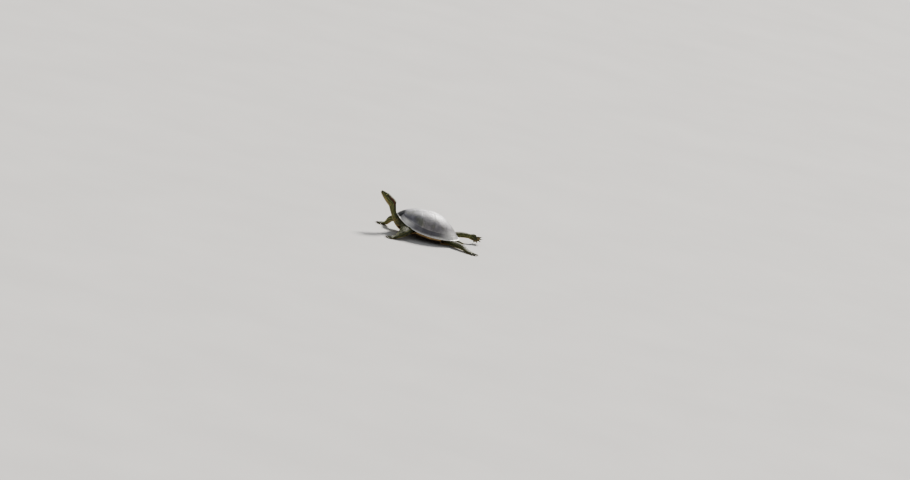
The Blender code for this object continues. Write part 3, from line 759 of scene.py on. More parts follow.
def clear_of_shell(points):
    """Skin that would run into the carapace or the plastron is pressed back out of it."""
    level = off_ground(points)
    x, y, z = level.T
    angle, ratio = polar(x, y)
    inside = np.minimum(ratio, 1.0)
    under = dome(angle, inside, SHELL_WALL)[:, 2] - 2 * GAP
    over = dome(angle, inside)[:, 2]
    pressed = (ratio < LIP_RATIO) & (z > under) & (z < over + 0.002)
    level[pressed, 2] = under[pressed]
    lip_x, lip_y = rim_plan(angle, SHELL_WALL / 2)
    lip = np.column_stack([lip_x, lip_y, rim_height(angle)])
    away = level - lip
    reach = SHELL_WALL / 2 + 2 * GAP
    close = distance(level, lip) < reach
    away[close, 2] = -np.abs(away[close, 2]) - 0.0003
    level[close] = lip[close] + unit(away[close]) * reach
    top = plastron_under(x, y) + PLASTRON_WALL + GAP
    half_width = plastron_half_width(np.clip(y, PLASTRON_FRONT + 0.0001, PLASTRON_REAR - 0.0001))
    over_plate = (np.abs(y) < PLASTRON_REAR) & (np.abs(x) < half_width)
    sunk = over_plate & (level[:, 2] < top) & (level[:, 2] > top - PLASTRON_WALL * 0.8)
    level[sunk, 2] = top[sunk]
    return on_ground(level)


EYE_ROOM = 0.00004
# the opening of the lids, in eye radii: how far out each ring lies and how wide it spreads
LID_OPENING = ((0.30, 0.10), (0.95, 0.78), (1.06, 0.98), (1.30, 1.45), (1.8, 2.3))
LID_HALF_WIDTH, LID_HALF_HEIGHT, LID_DROP = 0.93, 0.80, 0.03
# the line of the mouth: forward from the back of the head and above its axis
MOUTH_LINE = np.array([
    (0.0185, -0.0036), (0.0215, -0.0044), (0.0260, -0.0046), (0.0310, -0.0041), (0.0360, -0.0032),
    (0.0400, -0.0026), (0.0430, -0.0028), (0.0455, -0.0034), (0.0520, -0.0040),
])
MOUTH_CORNER, MOUTH_FRONT, MOUTH_DEPTH, MOUTH_BULGE = 0.0195, 0.0425, 0.0011, 0.0036
MOUTH_HALF_GAP, CORNER_HALF_GAP, MOUTH_PAST_LIPS = 0.00014, 0.00003, 0.008
NOSTRIL, NOSTRIL_SIZE = (0.0019, 0.0458, 0.0012), (0.00046, 0.00040, 0.0016)
EAR_DRUM, JAW_CORNER = (0.0150, 0.0085, 0.0), (0.0130, 0.0170, -0.0042)
# lips and beak: lift, height above the line of the mouth and half width
LIPS, BEAK_GROOVE = ((0.00018, 0.0007, 0.0009), (-0.00022, -0.0006, 0.0010)), (-0.00012, 0.0024, 0.0008)
EAR_RIM, EAR_DEPTH, JAW_KNOB, LID_EDGE, CROWN_GROOVE = 0.00016, 0.00018, 0.00022, 0.00020, 0.00010
# folds round the eyeball: height, distance from the ball and half width
LID_FOLDS = ((-0.00036, 0.0015, 0.0006), (0.00014, 0.0023, 0.0006), (-0.00012, 0.0031, 0.0005))


def eye_cutters(side):
    """What is cut from the skin round an eye: the ball's own room and the opening of the lids."""
    look, front, upper = gaze(side)
    ball = EYE_RADIUS + EYE_ROOM
    room = ellipsoid_rings(EYES[side], (front * ball, upper * ball, look * ball), 48, 28)
    turn = np.linspace(0, 2 * pi, 64, endpoint=False)
    wide = np.cos(turn)
    tall = np.sin(turn) * (1 - 0.10 * wide) * np.where(np.sin(turn) > 0, 0.92, 1.0)
    opening = []
    for reach, spread in LID_OPENING:
        outline = front * (wide * LID_HALF_WIDTH * spread)[:, None]
        outline = outline + upper * (tall * LID_HALF_HEIGHT * spread - LID_DROP)[:, None]
        opening.append(EYES[side] + (look * reach + outline) * EYE_RADIUS)
    return [cutter("eye_room", room), cutter("lid_opening", opening)]


def mouth_height(forward):
    return np.interp(forward, *MOUTH_LINE.T)


def mouth_cutter():
    """A thin slit along the jaws and round the snout, as deep as the lips, narrowing at the corners."""
    table = np.array(HEAD_SECTIONS)
    path = []
    for forward in np.linspace(MOUTH_CORNER, MOUTH_FRONT, 50):
        across = np.interp(forward, table[:, 0], table[:, 1]) * 0.93 - MOUTH_DEPTH
        path.append((across, forward, 1.0, 0.0))
    across = path[-1][0]
    for turn in np.linspace(0, 90, 10)[1:]:
        out, ahead = cos(radians(turn)), sin(radians(turn))
        path.append((across * out, MOUTH_FRONT + MOUTH_BULGE * ahead, out, ahead))
    path += [(-across, forward, -out, ahead) for across, forward, out, ahead in path[-2::-1]]
    rings = []
    for across, forward, out, ahead in path:
        thick = MOUTH_HALF_GAP * step_up(MOUTH_CORNER, MOUTH_CORNER + 0.005, forward) + CORNER_HALF_GAP
        ring = []
        for reach, above in ((0, -thick), (MOUTH_PAST_LIPS, -thick), (MOUTH_PAST_LIPS, thick), (0, thick)):
            place = forward + reach * ahead
            ring.append(head_place(across + reach * out, place, mouth_height(place) + above))
        rings.append(ring)
    return cutter("mouth", rings)


def nostril_cutter(side):
    width, height, length = NOSTRIL_SIZE
    centre = head_place(NOSTRIL[0] * side, *NOSTRIL[1:])
    axes = (X_AXIS * width, OVER * height, AHEAD * length)
    return cutter("nostril", ellipsoid_rings(centre, axes, 16, 10))


def cut_away(obj, cutters):
    for body in cutters:
        modifier = obj.modifiers.new("cut", "BOOLEAN")
        modifier.operation = "DIFFERENCE"
        modifier.solver = "MANIFOLD"
        modifier.object = body
    mesh = apply_modifiers(obj)
    for body in cutters:
        bpy.data.objects.remove(body)
    return mesh


def sculpt_head(points, normals):
    """Lifts and hollows of the head: beak, jaw, ear drum, lids and the plates of the crown."""
    forward, above = head_coordinates(points)
    from_mouth = above - mouth_height(forward)
    jaw = step_up(0.019, 0.024, forward)
    height = np.zeros(len(points))
    for lift, middle, half_width in LIPS:
        height += lift * jaw * bump_at(from_mouth, middle, half_width)
    lift, middle, half_width = BEAK_GROOVE
    height += lift * jaw * bump_at(from_mouth, middle, half_width) * step_up(0.030, 0.036, forward)
    for side in (1, -1):
        gap = distance(points, head_place(EAR_DRUM[0] * side, *EAR_DRUM[1:]))
        height += EAR_RIM * bump_at(gap, 0.0040, 0.0010) - EAR_DEPTH * (1 - step_up(0.0020, 0.0036, gap))
        gap = distance(points, head_place(JAW_CORNER[0] * side, *JAW_CORNER[1:]))
        height += JAW_KNOB * bump_at(gap, 0.0, 0.0030)
    for side, centre in EYES.items():
        look = gaze(side)[0]
        gap = distance(points, centre)
        facing = (points - centre) @ look / np.maximum(gap, 1e-9)
        for lift, from_ball, half_width in LID_FOLDS:
            height += lift * (facing > -0.2) * bump_at(gap, EYE_RADIUS + from_ball, half_width)
        off_look = np.arccos(np.clip(facing, -1, 1))
        height += LID_EDGE * bump_at(off_look, 1.05, 0.17) * (gap < EYE_RADIUS + 0.0011)
    crown = step_up(0.0, 0.003, above)
    plates = np.abs(noise(points, 0.0052, 21)) + 0.5 * np.abs(noise(points, 0.0024, 22))
    height -= CROWN_GROOVE * crown * (1 - step_up(0.02, 0.16, plates)) * step_up(0.0, 0.008, forward)
    return points + normals * (height * step_up(-0.004, 0.004, forward))[:, None]


def smooth_flesh():
    """The flesh turned into one surface and smoothed, most of all in its loose creases."""
    skin = raw_flesh().object("skin", 0)
    remesh = skin.modifiers.new("surface", "REMESH")
    remesh.mode = "VOXEL"
    remesh.voxel_size = SKIN_VOXEL
    points = mesh_points(apply_modifiers(skin))
    loose = skin.vertex_groups.new(name="loose")
    for place, reach in LOOSE_SKIN:
        loose.add(np.flatnonzero(distance(points, place) < reach).tolist(), 1.0, "REPLACE")
    skin.modifiers.new("blend", "SMOOTH").iterations = SKIN_SMOOTHING
    creases = skin.modifiers.new("creases", "SMOOTH")
    creases.iterations = LOOSE_SMOOTHING
    creases.vertex_group = "loose"
    apply_modifiers(skin)
    return skin


def thin_out(skin, weights, cutters):
    """Makes the openings and leaves out triangles, none where the weight is 0 and most where it is 1."""
    group = skin.vertex_groups.new(name="thin")
    for weight in np.unique(weights[weights > 0]):
        group.add(np.flatnonzero(weights == weight).tolist(), float(weight), "REPLACE")
    mesh = cut_away(skin, cutters)
    mesh.calc_loop_triangles()
    decimate = skin.modifiers.new("thin", "DECIMATE")
    decimate.ratio = min(SKIN_TRIANGLES / len(mesh.loop_triangles), 1)
    decimate.vertex_group = "thin"
    decimate.vertex_group_factor = 3.0
    mesh = apply_modifiers(skin)
    mesh.validate()


def build_skin():
    skin = smooth_flesh()
    points, normals = mesh_points(skin.data), mesh_normals(skin.data)
    height = fold_height(points, *nearest_line(points)) - COAT_DEPTH
    points = sculpt_head(points + normals * height[:, None], normals)
    points = clear_of_shell(points)
    points[:, 2] = np.where(points[:, 2] < SOLE_FLAT, 0.00002, points[:, 2])
    set_points(skin.data, points)
    hidden = (shell_ratio(points) < 0.70) & (points[:, 2] > 0.004)
    head = head_coordinates(points)[0] > -0.002
    weights = np.where(head, 0.0, np.where(hidden, 1.0, 0.35))
    cutters = [mouth_cutter(), nostril_cutter(1), nostril_cutter(-1)]
    for side in EYES:
        cutters += eye_cutters(side)
    thin_out(skin, weights, cutters)
    skin.data.shade_smooth()
    skin.data.set_sharp_from_angle(angle=radians(48))
    return skin


# ---- carapace: a base with its scutes laid on it -----------------------------------------------
SCUTE_SINK = 0.00042
SCUTE_BEVEL = 0.0010
SCUTE_SPACING = 0.0014
SCUTE_DROP = 0.00006
GROWTH_RING, GROWTH_SPACING, WEAR = 0.00009, 0.0027, 0.00014
# how far the seams seen from above wander
SEAM_SWAY = 0.00055
KEEL, KEEL_HALF_WIDTH = 0.0005, 0.0045
SHELL_MIDDLE = np.array([0, 0, 0.02])
MARGINAL_TOP = 0.865
# the mean radius in plan, which turns outline angles into lengths
PLAN_RADIUS = 0.085
# outline angles (degrees from the front) of the seams between marginals, nuchal first
MARGINAL_SEAMS = (3.0, 16, 30, 45, 60, 75, 90, 105, 120, 135, 150, 165, 180)
# where each seam across the vertebrals lies, their half widths at the inner seams and between seams
VERTEBRAL_SEAMS = (-0.0860, -0.0510, -0.0150, 0.0215, 0.0565, 0.0860)
VERTEBRAL_ENDS = (0.0150, 0.0145, 0.0140, 0.0105)
VERTEBRAL_MIDDLES = (0.0205, 0.0215, 0.0220, 0.0205, 0.0180)
LAST_VERTEBRAL_ANGLE = radians(162)
COSTAL_SEAM_RIM = (-0.0330, 0.0045, 0.0425)
LIP_WRAP = 0.35
MARGINAL_BOTTOM = 1 + LIP_WRAP + 0.085
# the rear rim is notched a little between its marginals
NOTCH, NOTCH_REACH = 0.010, 0.09
# a near-black, glossy patch on the front of the shell: its middle and reach
DARK_PATCH_PLACE, DARK_PATCH_REACH = (-0.001, -0.0965), (0.0225, 0.0180)
# places round the rim, as middle and half width in degrees from the front, where shade is painted on the horn
# (the long sides) or light is painted on it (the low scutes of the rear, the front marginals)
PAINTED_SHADE_SIDE_TURN, PAINTED_LIGHT_REAR_TURN, PAINTED_LIGHT_FRONT_TURN = (84, 50), (134, 34), (38, 28)
# strength of the painted light on the front marginals, and its share on the far side's rear marginals
PAINTED_LIGHT_FRONT, PAINTED_LIGHT_FAR_SIDE = 0.75, 0.35
RIM_START, RIM_SIDE_SHIFT, RIM_BLEND = 0.956, 0.020, 0.022


def wrap(angle, place):
    """Along a line over the shell: 0 to 1 from centre to rim, then round the lip and back underneath."""
    turn = np.clip((place - 1) / LIP_WRAP, 0, 1) * pi
    lip_x, lip_y = rim_plan(angle, SHELL_WALL / 2 - SHELL_WALL / 2 * np.cos(turn))
    lip = np.stack([lip_x, lip_y, rim_height(angle) - SHELL_WALL / 2 * np.sin(turn)], axis=-1)
    top = dome(angle, np.minimum(place, 1))
    below = dome(angle, 1 - np.maximum(place - 1 - LIP_WRAP, 0), SHELL_WALL)
    return np.where((place < 1)[..., None], top, np.where((place < 1 + LIP_WRAP)[..., None], lip, below))


def over_plan(flat):
    """The carapace's surface over places seen from above, with seams that wander a little."""
    x, y = flat.T
    fade = 1 - step_up(0.80, MARGINAL_TOP, polar(x, y)[1])
    grid = np.column_stack([x, y, np.zeros(len(x))])
    x = x + noise(grid, 0.007, 31, 2) * SEAM_SWAY * fade
    y = y + noise(grid, 0.007, 32, 2) * SEAM_SWAY * fade
    angle, ratio = polar(x, y)
    return dome(angle, np.minimum(ratio, 1))


def along_curve(points, spacing):
    """A closed polyline read at about this spacing, keeping its corners."""
    result = []
    for a, b in zip(points, np.roll(points, -1, axis=0)):
        count = max(int(round(np.linalg.norm(b - a) / spacing)), 1)
        result += [a + (b - a) * k / count for k in range(count)]
    return np.array(result)


def scute_relief(place, from_seam, share, number):
    """Height of a scute's face: a bevelled edge, growth rings and wear."""
    ripple = np.sin(2 * pi * from_seam / GROWTH_SPACING + 2.4 * noise(place, 0.012, 40 + number, 2))
    ripple *= 0.5 + 0.5 * noise(place, 0.009, 45)
    fade = step_up(0.0008, 0.0022, from_seam) * (1 - step_up(0.38, 0.68, share))
    wear = noise(place, 0.0038, 51, 3) * 0.5 + 0.5 * noise(place * [1, 0.35, 1], 0.0030, 52, 2)
    face = step_up(0, SCUTE_BEVEL, from_seam)
    height = -SCUTE_SINK * (1 - face) + GROWTH_RING * ripple * fade
    return height + WEAR * wear * face * (1 - step_up(0.60, 0.95, share))


def scute_values(level, marginal):
    """The named numbers that a scute's colours are made from; marginal is 1 on a marginal."""
    x, y, z = level.T
    angle, ratio = polar(x, y)
    turn = np.degrees(np.abs(angle))
    side = bump_at(turn, *PAINTED_SHADE_SIDE_TURN)
    rim_start = RIM_START + RIM_SIDE_SHIFT * side
    rim = step_up(rim_start, rim_start + RIM_BLEND, ratio)
    # painted light on the low rear marginals, weaker on the far side, and on the front marginals
    near_side = np.where(angle > 0, 1, PAINTED_LIGHT_FAR_SIDE)
    painted_light_rear = bump_at(turn, *PAINTED_LIGHT_REAR_TURN) * step_up(0.76, 0.92, ratio) * near_side
    painted_light_front = PAINTED_LIGHT_FRONT * bump_at(turn, *PAINTED_LIGHT_FRONT_TURN) * step_up(0.86, 0.93, ratio)
    from_dark_patch = np.hypot((x - DARK_PATCH_PLACE[0]) / DARK_PATCH_REACH[0], (y - DARK_PATCH_PLACE[1]) / DARK_PATCH_REACH[1])
    return {
        # a pale line along the lip, with the painted light of the rear and front marginals
        "edge": np.max([rim * marginal, painted_light_rear, painted_light_front], axis=0),
        # painted shade on the marginals of the long sides
        "low": side * (1 - rim) * marginal,
        # dust with a painted sheen on top of the dome, fading towards the far side
        "dust": step_up(0.045, 0.074, z) * (1 - marginal) * step_up(-0.050, -0.005, x),
        # the near-black, glossy patch at the front
        "wet": 1 - 0.5 * np.minimum(from_dark_patch, 2),
        # darker, more olive towards the far side: less dust there, and painted shade over the painted sheen
        "fresh": 1 - step_up(-0.066, -0.020, x),
    }


def seam_steps(reach):
    """Shares of the way from a scute's seam to its centre, close together at the seam."""
    depths = [0, 0.00035, 0.0008, 0.0014]
    while depths[-1] < reach * 0.96:
        depths.append(depths[-1] + 0.00085 + 0.035 * depths[-1])
    return np.minimum(np.array(depths) / reach, 1.0)


def plate(shape, outline, centre, surface, number, marginal=0.0, keel=0.0):
    """One scute, in rings from its seam to its centre."""
    reach = distance(surface(outline), surface(centre[None]))
    shares = seam_steps(reach.max())
    rings = []
    for share in shares:
        flat = outline + (centre - outline) * share
        place = surface(flat)
        across, along = (surface(flat + np.array(step)) - place for step in ((1e-5, 0), (0, 1e-5)))
        normal = unit(np.cross(across, along))
        normal *= np.where((normal * (place - SHELL_MIDDLE)).sum(axis=1) < 0, -1, 1)[:, None]
        height = scute_relief(place, reach * share, share, number)
        height += keel * np.exp(-(place[:, 0] / KEEL_HALF_WIDTH) ** 2) * step_up(0.15, 0.6, share)
        rings.append(place + normal * (height - SCUTE_DROP)[:, None])
    level = np.vstack([*rings, rings[-1].mean(axis=0)])
    points = on_ground(level)
    count = len(outline)
    hub = len(rings) * count
    last = hub - count
    faces = ring_faces(len(rings), count)
    faces += [(last + i, last + (i + 1) % count, hub) for i in range(count)]
    a, b, c = (points[i] for i in faces[0][:3])
    if np.cross(b - a, c - a) @ (a - on_ground(SHELL_MIDDLE)) < 0:
        faces = [face[::-1] for face in faces]
    shape.add(
        points, faces,
        seam=np.append(np.outer(shares, reach), reach.max()) / MM,
        centre=np.append(np.repeat(shares, count), 1.0),
        scute=lattice(np.array([[number, 3, 7]]), 5)[0] * 0.5 + 0.5,
        **scute_values(level, marginal),
    )


def marginal_top(angle):
    """The ratio of the marginals' upper edge: they are narrow in plan along the steep sides."""
    return 0.900 - 0.036 * np.cos(2 * angle)


def edge_of_marginals(angle):
    """Where costals and vertebrals meet the marginals, seen from above."""
    ratio = marginal_top(angle)
    x, y = rim_plan(angle)
    return np.stack([x * ratio, y * ratio], axis=-1)


def rim_angle_at(y):
    """The outline angle of the left marginals' upper edge at y."""
    angles = np.linspace(0, pi, 720)
    return np.interp(y, edge_of_marginals(angles)[:, 1], angles)


FIRST_VERTEBRAL_ANGLE = rim_angle_at(VERTEBRAL_SEAMS[0])


def rim_arc(start, end, steps):
    return [tuple(edge_of_marginals(angle)) for angle in np.linspace(start, end, steps)]


def vertebral_side():
    """The corners of the five vertebrals' left edge, from front to rear."""
    first, last = rim_arc(FIRST_VERTEBRAL_ANGLE, LAST_VERTEBRAL_ANGLE, 2)
    ends = [*zip(VERTEBRAL_ENDS, VERTEBRAL_SEAMS[1:]), last]
    corners = [first]
    for i, end in enumerate(ends):
        corners += [(VERTEBRAL_MIDDLES[i], (VERTEBRAL_SEAMS[i] + VERTEBRAL_SEAMS[i + 1]) / 2), end]
    return corners


def vertebral(side, i):
    """Outline and centre of a vertebral, counted from the front."""
    left = side[2 * i: 2 * i + 3]
    right = [(-x, y) for x, y in left[::-1]]
    front = rim_arc(-FIRST_VERTEBRAL_ANGLE, FIRST_VERTEBRAL_ANGLE, 12)[1:-1] if i == 0 else []
    rear = rim_arc(LAST_VERTEBRAL_ANGLE, 2 * pi - LAST_VERTEBRAL_ANGLE, 16)[1:-1] if i == 4 else []
    middle = VERTEBRAL_SEAMS[i] * 0.40 + VERTEBRAL_SEAMS[i + 1] * 0.60
    return np.array(left + rear + right + front), np.array([0.0, middle])


def costal(side, i):
    """Outline and centre of a left costal; the first and last share a corner with the rim."""
    corners = (side[0:4], side[3:6], side[5:8], side[7:11])[i]
    seams = [FIRST_VERTEBRAL_ANGLE, *(rim_angle_at(y) for y in COSTAL_SEAM_RIM), LAST_VERTEBRAL_ANGLE]
    rim = rim_arc(seams[i + 1], seams[i], 18)
    if i == 0:
        rim = rim[:-1]
    if i == 3:
        rim = rim[1:]
    points = np.array(corners + rim)
    hub = np.array([corners[0][0] + 0.016, points[:, 1].mean()])
    return points, points.mean(axis=0) * 0.5 + hub * 0.5


def plate_marginal(shape, near, far, number):
    """A marginal scute, from its upper edge over the lip to its lower edge."""
    def surface(flat):
        angle, place = flat[..., 0], flat[..., 1]
        top = marginal_top(angle)
        share = np.clip((place - MARGINAL_TOP) / (1 - MARGINAL_TOP), 0, 1)
        ratio = np.where(place < 1, top + (1 - top) * share, place)
        notch = NOTCH * step_up(radians(110), radians(150), np.abs(angle))
        for seam in (near, far):
            at_seam = 1 - step_up(0, 0.004, np.abs(angle - seam) * NOTCH_REACH)
            ratio = ratio - notch * at_seam * (1 - np.minimum(np.abs(ratio - 1) / NOTCH_REACH, 1))
        return wrap(angle, np.maximum(ratio, top))

    count = max(int(PLAN_RADIUS * (far - near) / SCUTE_SPACING), 4)
    angles = np.linspace(near, far, count + 1)
    face = np.linspace(MARGINAL_TOP, 1, int(0.012 / SCUTE_SPACING) + 1)
    lip = np.linspace(1, 1 + LIP_WRAP, 7)[1:]
    below = np.linspace(1 + LIP_WRAP, MARGINAL_BOTTOM, 8)[1:]
    places = [*face, *lip, *below]
    outline = [(angle, MARGINAL_TOP) for angle in angles]
    outline += [(far, place) for place in places[1:-1]]
    outline += [(angle, MARGINAL_BOTTOM) for angle in angles[::-1]]
    outline += [(near, place) for place in places[-2:0:-1]]
    centre = np.array([(near + far) / 2, 1.06])
    plate(shape, np.array(outline), centre, surface, number, marginal=1.0)


def build_scutes():
    """Five vertebrals, four pairs of costals, and the nuchal with twelve pairs of marginals."""
    shape = Shape()
    side = vertebral_side()
    number = 0
    for i in range(5):
        outline, centre = vertebral(side, i)
        plate(shape, along_curve(outline, SCUTE_SPACING), centre, over_plan, number, keel=KEEL)
        number += 1
    for i in range(4):
        outline, centre = costal(side, i)
        for turn in (1, -1):
            flat = along_curve(outline * [turn, 1], SCUTE_SPACING)
            plate(shape, flat, centre * [turn, 1], over_plan, number)
            number += 1
    edges = [radians(angle) for angle in MARGINAL_SEAMS]
    spans = [(-edges[0], edges[0])]
    for near, far in zip(edges, edges[1:]):
        spans += [(near, far), (-far, -near)]
    for near, far in spans:
        plate_marginal(shape, near, far, number)
        number += 1
    return shape.object("carapace_scutes")


def build_carapace_base():
    """The shell under its scutes: it shows in the seams and on the underside."""
    angles = np.linspace(0, 2 * pi, 240, endpoint=False)
    ratios = np.maximum(1 - (1 - np.linspace(0, 1, 60)) ** 1.3, 0.01)
    over = [dome(angles, ratio * LIP_RATIO, SCUTE_SINK + 0.0009) for ratio in ratios]
    below = [dome(angles, ratio * LIP_RATIO, SHELL_WALL) + [0, 0, 0.0003 * ratio] for ratio in ratios[::-3]]
    under = np.repeat([0.0] * len(over) + [1.0] * len(below), len(angles))
    shape = Shape()
    shape.loft([on_ground(ring) for ring in over + below], under=under)
    return shape.object("carapace_base")


# ---- plastron ----------------------------------------------------------------------------------
PLASTRON_ROUND = 0.0019
PLASTRON_SEAMS = (-0.0690, -0.0450, -0.0130, 0.0240, 0.0560)
BRIDGE_SEAM = 0.051
PLASTRON_GROOVE, PLASTRON_WEAR = 0.00035, 0.00006
# seam and blotch numbers along the two edges, where neither shows
NO_SEAM, NO_BLOTCH = 5.0, 0.9


def plastron_seam_gap(x, y):
    """Distance to the nearest seam of the plastron, for points at one y."""
    bow = 0.0045 * np.cos(np.abs(x) / 0.030) - 0.003
    leans = {0: -0.55 * np.abs(x) + 0.006, 4: 0.35 * np.abs(x) - 0.006}
    gaps = [np.abs(x + 0.0012 * np.sin(y / 0.011))]
    gaps += [np.abs(y - seam - leans.get(i, bow)) for i, seam in enumerate(PLASTRON_SEAMS)]
    if bridge_share(y) > 0.5:
        gaps.append(np.abs(np.abs(x) - BRIDGE_SEAM))
    return np.min(gaps, axis=0)


def plastron_ring(y, crossings):
    """Points once round the plastron at y, and their seam and blotch numbers."""
    half_width = plastron_half_width(y)
    bridge = bridge_share(y)
    x = crossings * half_width
    flat = np.column_stack([x, np.full(len(x), y), np.zeros(len(x))])
    gap = plastron_seam_gap(x, y)
    groove = PLASTRON_GROOVE * (1 - step_up(0, 0.0009, gap)) * (np.abs(crossings) < 0.97)
    inwards = np.minimum(half_width - np.abs(x), min(y - PLASTRON_FRONT, PLASTRON_REAR - y))
    near_edge = np.clip(1 - inwards / PLASTRON_ROUND, 0, 1) * (1 - bridge)
    rounding = PLASTRON_ROUND * (1 - np.sqrt(1 - near_edge**2))
    worn = PLASTRON_WEAR * np.maximum(noise(flat, 0.004, 61, 2), 0)
    z = plastron_under(x, flat[:, 1])
    middle = plastron_under(np.array([half_width]), np.array([y]))[0] + PLASTRON_WALL / 2
    under = flat + Z_AXIS * (z + groove + worn + 0.00004 + rounding)[:, None]
    over = flat + Z_AXIS * (z + PLASTRON_WALL + GAP * 2 * bridge - rounding)[:, None]
    ring = np.vstack([under, (half_width, y, middle), over[::-1], (-half_width, y, middle)])
    from_middle = np.abs(np.abs(x) - half_width * 0.48) / (half_width * 0.5)
    on_bridge = step_up(0.030, 0.046, np.abs(x)) * bridge
    blotch = noise(flat, 0.016, 63, 2) * 0.45 + from_middle - 0.62 * on_bridge
    seam = [*gap / MM, NO_SEAM, *gap[::-1] / MM, NO_SEAM]
    return on_ground(ring), seam, [*blotch, NO_BLOTCH, *blotch[::-1], NO_BLOTCH]


def build_plastron():
    """The plastron's two faces, with grooves underneath for the seams of its scutes."""
    columns, count = ((150, 210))
    ys = np.linspace(PLASTRON_FRONT, PLASTRON_REAR, count)
    ends = PLASTRON_ROUND * np.array([0.03, 0.1, 0.22, 0.4, 0.65])
    ys = np.sort(np.concatenate([ys, PLASTRON_FRONT + ends, PLASTRON_REAR - ends, [REAR_FLAT_START]]))
    crossings = 0.998 * np.sin(np.linspace(-pi / 2, pi / 2, columns))
    rings, seams, blotches = zip(*(plastron_ring(y, crossings) for y in ys))
    shape = Shape()
    shape.loft(rings, seam=np.concatenate(seams), blotch=np.concatenate(blotches))
    return shape.object("plastron_plates")


# ---- markings: lines drawn on the skin ---------------------------------------------------------
# each line on the head and neck: (place, degrees from the middle of the back, half width in mm);
# place runs from -1 at the foot of the neck through 0 at the back of the head to 1 at the snout
RED_EAR = ((0.56, 64, 0.2), (0.46, 66, 0.7), (0.34, 66, 1.1), (0.18, 63, 1.25), (0.03, 61, 1.1),
           (-0.10, 62, 0.2))
HEAD_LINES = (
    ((0.60, 84, 0.3), (0.45, 92, 0.5), (0.25, 90, 0.6), (0.05, 84, 0.6), (-0.5, 84, 0.6), (-1, 82, 0.5)),
    ((0.95, 96, 0.2), (0.80, 100, 0.4), (0.62, 104, 0.45), (0.46, 110, 0.3)),
    ((0.93, 132, 0.3), (0.75, 128, 0.6), (0.5, 122, 0.7), (0.3, 112, 0.8), (0.1, 104, 0.8), (-0.5, 102, 0.7),
     (-1, 100, 0.6)),
    ((0.90, 180, 0.3), (0.7, 179, 0.5), (0.5, 172, 0.6), (0.3, 158, 0.7), (0.1, 146, 0.8), (-0.15, 140, 0.75),
     (-0.5, 136, 0.7), (-1, 130, 0.6)),
    ((0.35, 180, 0.2), (0.1, 180, 0.6), (-0.3, 180, 0.7), (-1, 180, 0.6)),
    ((0.12, 162, 0.2), (-0.1, 160, 0.5), (-0.5, 158, 0.5), (-1, 155, 0.5)),
    ((0.25, 134, 0.2), (0.05, 124, 0.4), (-0.2, 120, 0.5), (-1, 116, 0.5)),
    ((0.62, 46, 0.15), (0.5, 42, 0.3), (0.3, 38, 0.35), (0.05, 38, 0.35), (-0.2, 42, 0.35), (-1, 48, 0.3)),
    ((0.80, 16, 0.1), (0.6, 18, 0.2), (0.3, 16, 0.25), (-0.3, 18, 0.25), (-1, 20, 0.2)),
    ((0.76, 62, 0.2), (0.86, 50, 0.3), (0.96, 34, 0.15)),
    ((0.78, 82, 0.2), (0.88, 86, 0.25), (0.97, 82, 0.15)),
    ((-0.22, 66, 0.2), (-0.4, 66, 0.5), (-1, 64, 0.45)),
)
# lines along a limb: degrees round a left limb from its front edge over its top, half width in mm
LIMB_LINES = {
    "front": ((0, 0.9), (36, 0.5), (72, 0.45), (112, 0.35), (150, 0.45), (-34, 0.6), (-80, 0.5), (190, 0.5)),
    "hind": ((15, 0.5), (-20, 0.5), (60, 0.3), (125, 0.4), (152, 0.5), (180, 0.7), (210, 0.5)),
    "tail": ((0, 0.35), (180, 0.35), (55, 0.25), (125, 0.25)),
}
# where the lines start and end, as shares of the limb's length
LIMB_LINE_ENDS = {"front": (0.12, 0.86), "hind": (0.12, 0.86), "tail": (0.35, 0.97)}
# how far from a line its distance is still worked out
LINE_REACH = 0.008
# the paler skin between neck and arms: centre and reach
CHEST, CHEST_REACH = (0.0, -0.098, 0.036), 0.024


def head_axis(place):
    """The middle and the back's direction at a place along neck and head."""
    line = LINES["neck"]
    step = int(round(np.interp(place, (-1, 0), (0.30, 0.93)) * (len(line.centre) - 1)))
    share = step_up(-0.08, 0.08, place)
    middle = line.centre[step] * (1 - share) + head_place(0, HEAD_LENGTH * max(place, 0) * 0.97, 0) * share
    return middle, unit(-line.up[step] * (1 - share) + OVER * share)


def on_skin(tree, middle, direction):
    """Where a line from the middle of a limb comes out of the skin."""
    hit = tree.ray_cast(Vector(middle), Vector(direction), 0.05)[0]
    return np.array(middle) + direction * 0.008 if hit is None else np.array(hit)


def traced(tree, rows, mirror):
    """A head line as points on the skin with half widths in metres, wandering a little on the neck."""
    rows = smooth_rows(rows, 6 * len(rows))
    drift = noise(np.column_stack([rows[:, 0], rows[:, 1] / 90, rows[:, 0] * mirror]), 0.22, 71, 2)
    on_neck = 1 - step_up(-0.25, 0.1, rows[:, 0])
    result = []
    for (place, angle, half_width), sway, share in zip(rows, drift, on_neck):
        angle += 3.0 * sway * share
        half_width *= (1 + 0.45 * sway * (0.3 + 0.7 * share)) * (1 - 0.18 * share)
        middle, back = head_axis(place)
        turn = radians(angle) * mirror
        place = on_skin(tree, middle, back * cos(turn) + X_AXIS * sin(turn))
        result.append((*place, max(half_width, 0.1) * MM))
    return np.array(result)


def limb_lines(tree, name):
    """The lines along a leg or the tail, growing narrower outwards."""
    line, kind = LINES[name], name.split("_")[0]
    for angle, half_width in LIMB_LINES[kind]:
        turn = radians(180 - angle if name.endswith("right") else angle)
        points = []
        for share in np.linspace(*LIMB_LINE_ENDS[kind], 16):
            i = int(share * (len(line.centre) - 1))
            place = on_skin(tree, line.centre[i], line.side[i] * cos(turn) + line.up[i] * sin(turn))
            points.append((*place, half_width * MM * (1.15 - 0.5 * share)))
        yield np.array(points)


